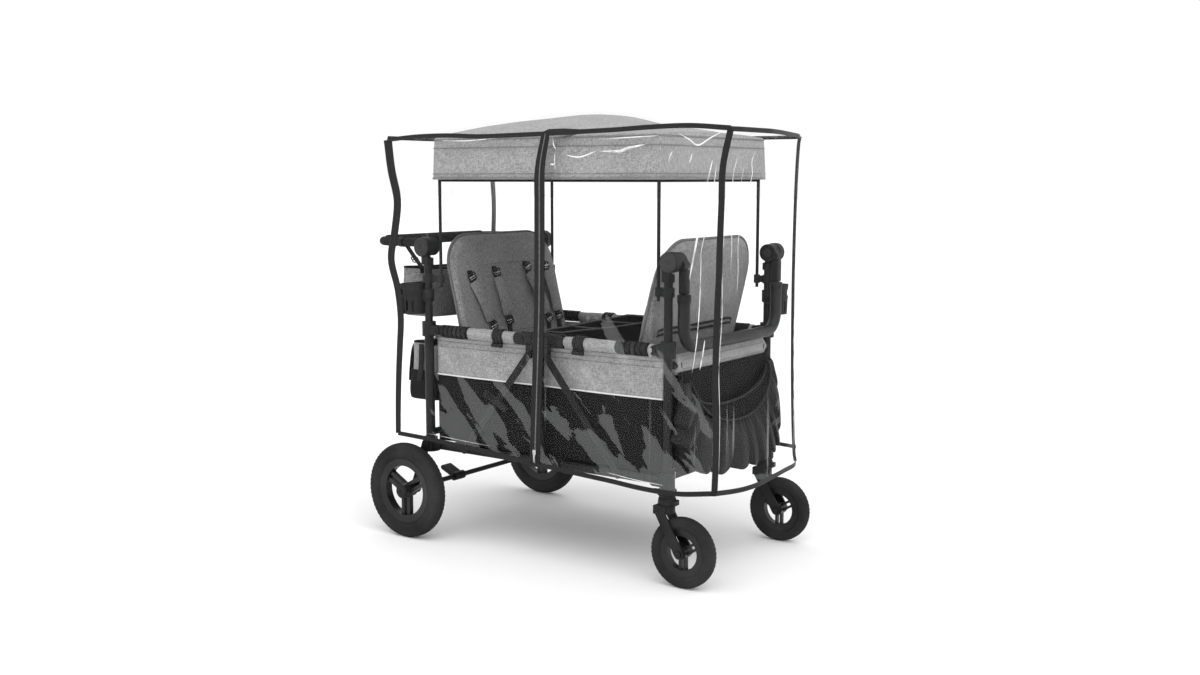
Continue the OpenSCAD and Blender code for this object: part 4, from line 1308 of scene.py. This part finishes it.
def make_organiser():
    """Long open box across the tub, narrower at the right-hand hub, with compartments and bound edges."""
    lo, hi = low("organiser"), high("organiser")
    y0, y1 = lo.y, hi.y
    mid = MID_X + 0.022

    def half_width(y):
        k = clamp((y - y0) / 0.36)
        return 0.044 + 0.034 * (k * k * (3 - 2 * k))

    rows = [(0.0, 0.0, 0), (0.9, 0.0, 0), (0.98, 0.04, 0)] + [(1.0, 0.1 + 0.9 * k / 6, 0) for k in range(7)]
    rows += [(1.0, 1 - 0.93 * k / 5, 1) for k in range(6)] + [(0.0, 0.06, 1)]
    tall = hi.z - lo.z

    def point(u, v):
        scale, f, inner = rows[int(round(v * (len(rows) - 1)))]
        a = 2 * math.pi * u
        c, s = math.cos(a), math.sin(a)
        ex = math.copysign(abs(c) ** 0.25, c) * scale
        ey = math.copysign(abs(s) ** 0.25, s) * scale
        y = (y0 + y1) / 2 + ey * ((y1 - y0) / 2 - (0.004 if inner else 0))
        x = mid + ex * (half_width(y) - (0.004 if inner else 0))
        x += 0.002 * ripple((x, y, f * tall), 15.0, 7.0)
        return (x, y, lo.z + f * tall - 0.004 * f * math.sin(math.pi * (y - y0) / (y1 - y0)))

    shell = tidy(surface("organiser_shell", point, 160, len(rows) - 1, BLACK_CLOTH, wrap_u=True))
    place(shell, "centre", ["organiser"])
    edges = []
    for s in (-1, 1):
        path = [
            (
                mid + s * (half_width(y0 + (y1 - y0) * k / 50) - 0.002), y0 + 0.004 + (y1 - y0 - 0.008) * k / 50,
                hi.z - 0.004 * math.sin(math.pi * k / 50) + 0.001
            )
            for k in range(51)
        ]
        edges.append(sweep("edge", path, flat(0.008, 0.0042, 0.4), ORGANISER_EDGE, up=(0, 0, 1)))
    for y in (y0 + 0.003, -0.088, 0.092, y1 - 0.003):
        w = half_width(y)
        top = hi.z - 0.004 * math.sin(math.pi * (y - y0) / (y1 - y0))
        edges.append(sweep(
            "edge", [(mid - w + 0.004, y, top), (mid, y, top - 0.001), (mid + w - 0.004, y, top)],
            flat(0.006, 0.0036, 0.4), ORGANISER_EDGE, up=(0, 0, 1)
        ))
        if abs(y) < 0.2:
            edges.append(slab(
                "divider", (mid - w + 0.004, y - 0.0015, lo.z + 0.006), (mid + w - 0.004, y + 0.0015, top),
                BLACK_CLOTH, 0.0008, 1
            ))
    place(join("organiser_edges", edges), "centre")


def front_curve(points, count):
    """Smooth curve across the front end, through places given as (y, z)."""
    return spline([(0, y, z) for y, z in points], count)


def make_front_pocket():
    """Black panel under the front end's sleeve, with a gathered pocket on it."""
    face = FRONT_X + 0.0165
    top, bottom = CROSS_Z - 0.020, low("front_pocket").z + 0.004

    def back(u, v):
        y = -0.262 + 0.526 * u
        z = bottom + (top - bottom) * v
        return (face + 0.003 * ripple((0, y, z), 10, 4.0) - 0.002, y * (1 + 0.04 * (1 - v)), z)

    panel = thicken(tidy(surface("pocket_back", back, 50, 30, BLACK_CLOTH)), 0.0012, 0)
    place(panel, "front_frame", ["front_pocket"])
    mouth = front_curve([
        (-0.222, 0.572), (-0.200, 0.525), (-0.150, 0.478), (-0.075, 0.447), (0.000, 0.435),
        (0.075, 0.436), (0.145, 0.450), (0.200, 0.482), (0.236, 0.530), (0.246, 0.580),
    ], 240)
    rim = front_curve([
        (-0.262, 0.575), (-0.282, 0.480), (-0.296, 0.395), (-0.235, 0.322), (-0.130, 0.298), (-0.020, 0.290),
        (0.090, 0.288), (0.180, 0.298), (0.252, 0.322), (0.278, 0.430), (0.276, 0.580),
    ], 240)
    pleats = 11.5

    def gather(u, v):
        """Gathered from the mouth, flaring out to the hem, then turned back underneath it."""
        k = int(round(u * 240))
        f = min(v / 0.86, 1.0)
        under = max(0.0, (v - 0.86) / 0.14)
        p = mouth[k].lerp(rim[k], f)
        centre = math.sin(math.pi * u) ** 0.6
        phase = pleats * u + 0.35 * math.sin(u * 9.0) + 0.12 * math.sin(u * 31.0 + 1.0)
        wave = abs(math.sin(math.pi * phase)) ** 0.9
        fine = 0.5 + 0.5 * math.sin(2 * math.pi * phase * 2.6)
        out = 0.014 + 0.050 * math.sin(math.pi / 2 * f) ** 0.8 * centre
        pleat = (0.010 + 0.022 * f) * (0.7 + 0.3 * math.sin(7 * u + 1))
        out += pleat * (wave - 0.5) * centre * (1 - 0.75 * (1 - f) ** 4)
        out += 0.004 * (fine - 0.5) * max(0.0, 1 - f * 3.0)
        hem = 0.012 * (1 - wave) * f ** 3 * centre
        spread = 0.007 * math.cos(2 * math.pi * phase) * math.sin(math.pi / 2 * f)
        return (face + out * (1 - under) + 0.002 * under, p.y + spread, p.z + hem + 0.012 * under)

    pouch = tidy(surface("pocket_gathers", gather, 240, 34, POCKET_CLOTH))
    thicken(pouch, 0.0010, 0)
    place(pouch, "front_frame")
    brim = front_curve([
        (-0.215, 0.560), (-0.175, 0.512), (-0.085, 0.494), (0.0, 0.492), (0.085, 0.500), (0.180, 0.527),
        (0.238, 0.572),
    ], 80)

    def crescent(u, v):
        a = brim[int(round(u * 80))]
        b = mouth[int(round(u * 240))]
        p = b.lerp(a, v)
        lift = 0.010 + 0.014 * math.sin(math.pi * u) ** 0.5 * (1 - 0.5 * v)
        return (face + lift - 0.003 * v, p.y, p.z)

    facing = thicken(tidy(surface("pocket_facing", crescent, 80, 8, BLACK_CLOTH)), 0.0012, 0)
    place(facing, "front_frame")
    cords = []
    for source, lift in ((mouth, 0.0275), (brim, 0.0195)):
        n = len(source) - 1
        path = [
            (face + 0.008 + lift * math.sin(math.pi * k / n) ** 0.35, source[k].y, source[k].z)
            for k in range(0, n + 1, 4 if n > 100 else 2)
        ]
        cords.append(sweep("binding", path, ring(0.0036, 8), TAPE))
    for s, z1 in ((-1, 0.604), (1, 0.610)):
        cords.append(sweep(
            "binding",
            [(face + 0.002, s * 0.250, z1), (face + 0.003, s * 0.253, 0.54), (face + 0.003, s * 0.258, 0.45)],
            ring(0.0024, 8), TAPE
        ))
    place(join("pocket_binding", cords), "front_frame")


# ---------------------------------------------------------------- canopy

# The roof's edge and its valance's hem, and the height of its middle line from rear to front.
EDGE_Z, HEM_Z = 1.266, 1.142
ROOF_RIDGE = (1.300, 1.318, 1.325, 1.330, 1.336, 1.339, 1.334, 1.318, 1.304, 1.292, 1.276)
ROOF_X0, ROOF_X1 = low("canopy_roof").x, high("canopy_roof").x
ROOF_HALF = high("canopy_roof").y


def roof_height(x, y):
    """Cloth over the ribs: high along the middle, low at the edges, slack between the crossing rods."""
    u = (x - ROOF_X0) / (ROOF_X1 - ROOF_X0)
    across = min(abs(y) / ROOF_HALF, 1.0)
    rise = (level(ROOF_RIDGE, u) - EDGE_Z) * (1 - across ** 2.1) ** 0.85
    mid_u = 0.49
    rod = abs(abs(u - mid_u) / 0.51 - across)
    slack = 0.006 * min(1.0, rod * 2.2) * math.sin(math.pi * clamp(u)) ** 0.5 * (1 - across ** 4)
    return EDGE_Z + rise - slack


def make_canopy():
    cx, hx, hy = (ROOF_X0 + ROOF_X1) / 2, (ROOF_X1 - ROOF_X0) / 2, ROOF_HALF
    roof_rows, drop_rows = 18, 9

    def point(u, v):
        row = v * (roof_rows + drop_rows)
        px, py = box_plan(u, hx, hy, 0.010)
        if row <= roof_rows:
            f = row / roof_rows
            x, y = cx + px * f, py * f
            z = roof_height(x, y)
            z += 0.0030 * ripple((x, y, 0), 7.0, 5.0) * (1 - f ** 6)
            return (x, y, z)
        d = (row - roof_rows) / drop_rows
        out = 1 + 0.012 * d ** 0.6 + 0.012 * d * ripple((px, py, 0.1), 6.0, 9.0)
        return (cx + px * out, py * out, EDGE_Z - (EDGE_Z - HEM_Z) * d)

    cloth = tidy(surface("canopy_cloth", point, 180, roof_rows + drop_rows, CANOPY_CLOTH, wrap_u=True))
    thicken(cloth, 0.0014, 0)
    place(cloth, "canopy_rear", ["canopy_roof"], FOLD_CANOPY)

    def around(z, out, rows=160):
        plan = [box_plan(k / rows, hx + out, hy + out, 0.010) for k in range(rows)]
        return [(cx + x, y, z) for x, y in plan]

    trims = [
        sweep("edge", around(EDGE_Z - 0.004, 0.0012), ring(0.0026, 8), CANOPY_EDGE, closed=True),
        sweep("seam", around(EDGE_Z - 0.030, 0.0040), flat(0.0016, 0.0022), CANOPY_EDGE, closed=True, up=(0, 0, 1)),
        sweep("seam", around(HEM_Z + 0.016, 0.0062), flat(0.0016, 0.0022), CANOPY_EDGE, closed=True, up=(0, 0, 1)),
    ]
    place(join("canopy_seams", trims), "canopy_rear", squash=FOLD_CANOPY)
    hem = sweep("canopy_hem", around(HEM_Z + 0.002, 0.0045), ring(0.0036, 8), CANOPY_EDGE, closed=True)
    place(hem, "canopy_rear", squash=FOLD_CANOPY)
    # Black cloth strip just inside the hem: painted shade standing in for the dark, shadowed inner side of the
    # valance.
    inner = around(HEM_Z + 0.012, -0.006, 120)
    painted_shade_strip = sweep(
        "canopy_inner_painted_shade", inner, [(0.002, -0.020), (0.002, 0.020), (-0.002, 0.020), (-0.002, -0.020)],
        BLACK_CLOTH, closed=True
    )
    place(painted_shade_strip, "canopy_rear", squash=FOLD_CANOPY)
    rods = []
    for s in (-1, 1):
        ends = [(POLE_REAR + 0.006, s * 0.286), (POLE_FRONT - 0.006, -s * 0.286)]
        path = []
        for k in range(31):
            f = k / 30
            x = ends[0][0] + (ends[1][0] - ends[0][0]) * f
            y = ends[0][1] + (ends[1][1] - ends[0][1]) * f
            path.append((x, y, roof_height(x, y) - 0.008 - (0.006 if s > 0 else 0) * math.sin(math.pi * f) ** 8))
        rods.append(sweep("rod", path, ring(0.0032, 10), ROD))
    place(join("canopy_rods", rods), "canopy_rear", ["canopy_ribs"], FOLD_CANOPY)


# ---------------------------------------------------------------- rain cover

# How the film's edges wander, in millimetres at even steps. The waves are along X from the CAD cover's ends, from the
# hem up. The near top is measured from TOP_EDGE, and the hems from the floor. The plan gives the front panel's
# places round from the near corner: Y, then X at its hem and at its top.
REAR_WAVE = (10, 13, 18, 25, 31, 20, -6, 12, 24, 2, -10)
FRONT_WAVE = (0, 3, 2, -1, 0, 2, 6, 8, 11, 14, 36)
NEAR_TOP = (-12, -4, -3, -8, -7, -5, -2, 1, 6, 7, -2)
NEAR_HEM = (331, 328, 323, 317, 308, 300, 294, 288, 281, 282, 299)
FRONT_HEM = (299, 288, 285, 284, 280, 270, 256, 242)
PLAN_Y = (-346, -240, -150, -30, 80, 190, 290, 378)
PLAN_LOW = (663, 676, 680, 671, 655, 627, 590, 546)
PLAN_HIGH = (664, 696, 702, 681, 650, 616, 583, 541)
ZIP_X = (49, 52, 56, 60, 64, 68, 71, 73, 74, 76, 97)
TOP_EDGE = 1.276


def film_rear(z):
    return FILM_X0 + level(REAR_WAVE, (z - 0.331) / 0.933) / 1000


def film_front(z):
    return FILM_X1 - 0.0005 + level(FRONT_WAVE, (z - 0.299) / 0.969) / 1000


def near_hem(u):
    return level(NEAR_HEM, u) / 1000


def near_top(u):
    return TOP_EDGE + level(NEAR_TOP, u) / 1000


def near_side(u, v):
    hem, top = near_hem(u), near_top(u)
    z = hem + (top - hem) * v
    x0, x1 = film_rear(z), film_front(z)
    x = x0 + (x1 - x0) * u
    folds = 0.0065 * ripple((x, 0, z * 0.16), 6.5, 3.0) * math.sin(math.pi * min(max(v, 0.03), 0.97)) ** 0.4
    folds += 0.003 * ripple((x, 0, z), 3.0, 11.0)
    return Vector((x, FILM_RIGHT + folds, z))


def on_near_side(x, z, lift):
    """Place on the near side's film at x and z, lifted off it by lift."""
    u = (x - film_rear(z)) / (film_front(z) - film_rear(z))
    hem, top = near_hem(u), near_top(u)
    return Vector((x, near_side(u, (z - hem) / (top - hem)).y - lift, z))


def front_panel(u, v, lift=0.0):
    """Front film, from the near corner (u = 0) round to the far one."""
    y = level(PLAN_Y, u) / 1000
    x = (level(PLAN_LOW, u) * (1 - v * v) + level(PLAN_HIGH, u) * v * v) / 1000
    hem = level(FRONT_HEM, u) / 1000
    z = hem + (TOP_EDGE - 0.002 - hem) * v
    x += level(FRONT_WAVE, v) / 1000 * (1 - u) ** 5
    x += 0.005 * ripple((y, z * 0.25, 0), 7.0, 6.0) * min(1, 8 * u) * min(1, 8 * (1 - u)) * (1 - v ** 6)
    x -= 0.018 * math.sin(math.pi * v) ** 0.5 * u ** 6
    return Vector((min(x + lift, 0.706), y, z))


def far_side(u, v):
    z = 0.338 - 0.05 * u + (TOP_EDGE - 0.004 - 0.338 + 0.05 * u) * v
    x0 = FILM_X0 + 0.012 * math.sin(7 * v) * (1 - v)
    x1 = front_panel(1, v).x
    x = x0 + (x1 - x0) * u
    return Vector((x, FILM_LEFT + 0.006 * ripple((x, 0, z * 0.2), 6.0, 8.0), z))


def film_roof(x, y):
    """Cover's top: flat between its edges, lifted by the canopy under it."""
    inside = (x - ROOF_X0 + 0.03) * (ROOF_X1 + 0.03 - x) > 0 and abs(y) < ROOF_HALF + 0.03
    z = 1.2715
    if inside:
        z = max(z, roof_height(min(max(x, ROOF_X0), ROOF_X1), y) + 0.0075)
    dx = max(ROOF_X0 - x, x - ROOF_X1, 0.0)
    dy = max(abs(y) - ROOF_HALF, 0.0)
    near = max(0.0, 1 - math.hypot(dx, dy) / 0.10)
    return z + 0.004 * near - 0.004 * (1 - near) + 0.002 * ripple((x, y, 0), 8.0, 1.0)


def top_edge_x(y):
    """How far forward the cover's top reaches at this y."""
    lo_t, hi_t = 0.0, 1.0
    for _ in range(24):
        mid_t = (lo_t + hi_t) / 2
        if level(PLAN_Y, mid_t) / 1000 < y:
            lo_t = mid_t
        else:
            hi_t = mid_t
    return front_panel(lo_t, 1.0).x


def top_sheet(u, v):
    y = FILM_RIGHT + (FILM_LEFT - FILM_RIGHT) * v
    x0 = film_rear(TOP_EDGE) if v < 0.02 else FILM_X0 - 0.008 * (1 - v)
    x1 = top_edge_x(y)
    x = x0 + (x1 - x0) * u
    z = film_roof(x, y)
    edge = min(v / 0.10, 1.0)
    z = near_top(u) * (1 - edge) + z * edge
    front = min((1 - u) / 0.06, 1.0)
    return Vector((x, y, z * front + (TOP_EDGE - 0.002) * (1 - front)))


def rear_flap(u, v):
    y = FILM_RIGHT + (FILM_LEFT - FILM_RIGHT) * u
    z = 0.992 + (TOP_EDGE - 0.006 - 0.992) * v
    x = film_rear(z) * (1 - u) + (FILM_X0 - 0.002) * u
    return Vector((x + 0.006 * ripple((0, y, z * 0.4), 7.0, 4.0) * math.sin(math.pi * u), y, z))


def binding(name, path, body, squash, out, width=0.012, material=None, grow=None):
    """Tape folded over an edge of the film: two flat plies with a stitched groove between them."""
    tape = [
        (width / 2, -0.0008), (width / 2, 0.0008), (width * 0.42, 0.0017), (width * 0.12, 0.0017),
        (width * 0.05, 0.0009),
        (-width * 0.05, 0.0009), (-width * 0.12, 0.0017), (-width * 0.42, 0.0017), (-width / 2, 0.0008),
        (-width / 2, -0.0008), (-width * 0.42, -0.0014), (width * 0.42, -0.0014),
    ]
    piece = sweep(name, path, tape, material or TAPE, up=out, grow=grow)
    return place(piece, body, squash=squash)


def make_cover():
    def along(shape, fixed_u=None, fixed_v=None, n=60):
        """Path along one edge of a sheet: at a fixed u, or at a fixed v."""
        return [shape(fixed_u, k / n) if fixed_v is None else shape(k / n, fixed_v) for k in range(n + 1)]

    for name, shape, nu, nv, film, body, replaced, fold, flat_size, held, support in (
        ("near_side", near_side, 90, 60, FILM, "canopy_rear", ["cover_sides"], FOLD_COVER, (1.20, 0.97), "hung",
         "cover_roof"),
        ("far_side", far_side, 60, 40, FILM, "canopy_rear", [], FOLD_COVER, (1.06, 0.96), "hung", "cover_roof"),
        ("roof", top_sheet, 90, 60, FILM, "canopy_rear", ["cover_top"], FOLD_COVER, (1.21, 0.73), "draped",
         "canopy_cloth"),
        ("rear_flap", rear_flap, 50, 20, FILM, "canopy_rear", ["cover_rear"], FOLD_COVER, (0.73, 0.27), "hung",
         "cover_roof"),
        ("front_panel", front_panel, 80, 60, FILM_FRONT, "canopy_front", ["cover_front"], ROLL_UP, (0.80, 0.99),
         "hung", "cover_roof"),
    ):
        sheet = tidy(surface(f"cover_{name}", shape, nu, nv, film))
        place(sheet, body, replaced, fold)

    rear = ("canopy_rear", FOLD_COVER)
    binding("bind_rear_edge", along(near_side, 0.0), *rear, (0.1, -1, 0), 0.026, grow=lambda t: 0.75 + 0.45 * t)
    binding("bind_near_hem", along(near_side, None, 0.0, 90), *rear, (0, -1, 0), 0.014)
    binding("bind_near_top", along(near_side, None, 1.0, 90), *rear, (0, -1, 0.4), 0.014)
    binding("bind_rear_top", along(rear_flap, None, 1.0), *rear, (-1, 0, 0.4))
    binding("bind_far_top", along(far_side, None, 1.0), *rear, (0, 1, 0.4))
    binding("bind_far_hem", along(far_side, None, 0.0), *rear, (0, 1, 0))
    binding("bind_front_top", along(front_panel, None, 0.998, 80), "canopy_front", ROLL_UP, (1, 0, 0.4), 0.014)
    binding("bind_front_near", along(front_panel, 0.0), "canopy_front", ROLL_UP, (0.5, -1, 0), 0.017)
    binding("bind_front_far", along(front_panel, 1.0), "canopy_front", ROLL_UP, (0.5, 1, 0), 0.015)
    binding("bind_front_hem", along(front_panel, None, 0.0, 80), "canopy_front", ROLL_UP, (1, 0, 0), 0.014)
    strap = [rear_flap(0.69, k / 20) + Vector((-0.003, 0, -0.035 * (1 - k / 20))) for k in range(21)]
    binding("bind_rear_strap", strap, *rear, (-1, 0, 0), 0.022, TAPE_LIGHT)
    make_zip(rear)
    make_glints(rear)


def stroke(path, width, up):
    """Painted highlight of a crease: widest in the middle, fading out at its ends."""
    return sweep(
        "stroke", path, flat(width, 0.0006), GLINT, up=up,
        grow=lambda t: 0.12 + 0.88 * math.sin(math.pi * t) ** 0.6,
    )


def make_glints(rear):
    """Painted highlights of the creases on the near side and the front, drawn by their ends on each face."""
    strokes = [  # places in millimetres, then the width
        (((648, 1192), (628, 1113), (602, 981), (580, 874)), 0.0065),
        (((660, 1179), (646, 1087), (610, 928)), 0.003),
        (((566, 1087), (556, 1050), (544, 1020)), 0.005),
        (((616, 955), (612, 821), (604, 713), (590, 617)), 0.003),
        (((168, 1210), (218, 1204), (276, 1220)), 0.004),
        (((286, 1219), (354, 1219), (376, 1226), (436, 1236)), 0.008),
        (((512, 1187), (516, 1202), (524, 1216)), 0.005),
        (((578, 1184), (583, 1198), (586, 1210)), 0.004),
        (((542, 1264), (576, 1247), (604, 1231), (640, 1249), (682, 1268)), 0.004),
        (((112, 1185), (122, 1184), (130, 1186)), 0.006),
        (((122, 1262), (125, 1240), (134, 1225)), 0.004),
        (((130, 1215), (128, 1195), (131, 1170)), 0.003),
        (((310, 311), (406, 303), (502, 300)), 0.002),
        (((-380, 345), (-250, 340), (-120, 335)), 0.0014),
        (((628, 715), (622, 674), (614, 633)), 0.004),
        (((-440, 1180), (-430, 1120), (-400, 1040), (-360, 960)), 0.0022),
        (((480, 1258), (400, 1256), (300, 1252)), 0.003),
        (((-300, 1258), (-200, 1256), (-80, 1262)), 0.003),
    ]
    parts = []
    for points, width in strokes:
        path = spline([on_near_side(x / 1000, z / 1000, 0.0012) for x, z in points], 16)
        parts.append(stroke(path, width, (0, -1, 0)))
    place(join("cover_painted_highlights_side", parts), rear[0], squash=rear[1])
    parts = []
    for u, v0, v1, width in (
        (0.020, 0.05, 0.80, 0.0030), (0.060, 0.62, 0.93, 0.0040), (0.10, 0.55, 0.90, 0.0025),
        (0.16, 0.80, 0.94, 0.0030), (0.93, 0.30, 0.86, 0.0025), (0.965, 0.05, 0.60, 0.003)
    ):
        path = spline(
            [front_panel(u + 0.012 * math.sin(3 * k), v0 + (v1 - v0) * k / 5, 0.0012) for k in range(6)], 24
        )
        parts.append(stroke(path, width, (1, 0, 0)))
    place(join("cover_painted_highlights_front", parts), "canopy_front", squash=ROLL_UP)


def make_zip(rear):
    def at(f, dx):
        z0 = near_hem(0.48) + 0.002
        return on_near_side(level(ZIP_X, f) / 1000 + dx, z0 + (1.270 - z0) * f, 0.0022)

    def run(dx):
        path = [at(k / 60, dx * (1 - 0.35 * max(0.0, (k - 52) / 8))) for k in range(61)]
        last = path[-1]
        path += [
            last + Vector((0.014, 0.006, 0.006)), last + Vector((0.036, 0.028, 0.008)),
            last + Vector((0.070, 0.062, 0.006))
        ]
        return path

    body, squash = rear
    for tag, dx in (("left", -0.0105), ("right", 0.0105)):
        binding(f"zip_tape_{tag}", run(dx), body, squash, (0, -1, 0), 0.0160)
    teeth = sweep("zip_teeth", run(0.0), flat(0.0048, 0.0036), TAPE_LIGHT, up=(0, -1, 0))
    place(teeth, body, squash=squash)
    spot = at(0.035, 0.0) + Vector((0, -0.002, 0))
    slider = join("zip_slider", [
        slab("body", spot - Vector((0.006, 0.0035, 0.008)), spot + Vector((0.006, 0.0015, 0.008)), STEEL, 0.0015, 2),
        sweep(
            "pull", [spot + Vector((0, -0.004, -0.004)), spot + Vector((0.001, -0.0045, -0.030))],
            flat(0.006, 0.0018), STEEL, up=(0, -1, 0)
        ),
    ])
    place(slider, body, squash=squash)


make_wheels()
make_frame_details()
make_cup_holder("cup_rear", "cup_holder_rear", "rear_frame", REAR_X, -1)
make_cup_holder("cup_front", "cup_holder_front", "front_frame", FRONT_X, 1)
make_tub()
make_seat("rear", -1)
make_seat("front", 1)
make_benches()
make_floor_cloth()
make_bags()
make_organiser()
make_front_pocket()
make_canopy()
make_cover()
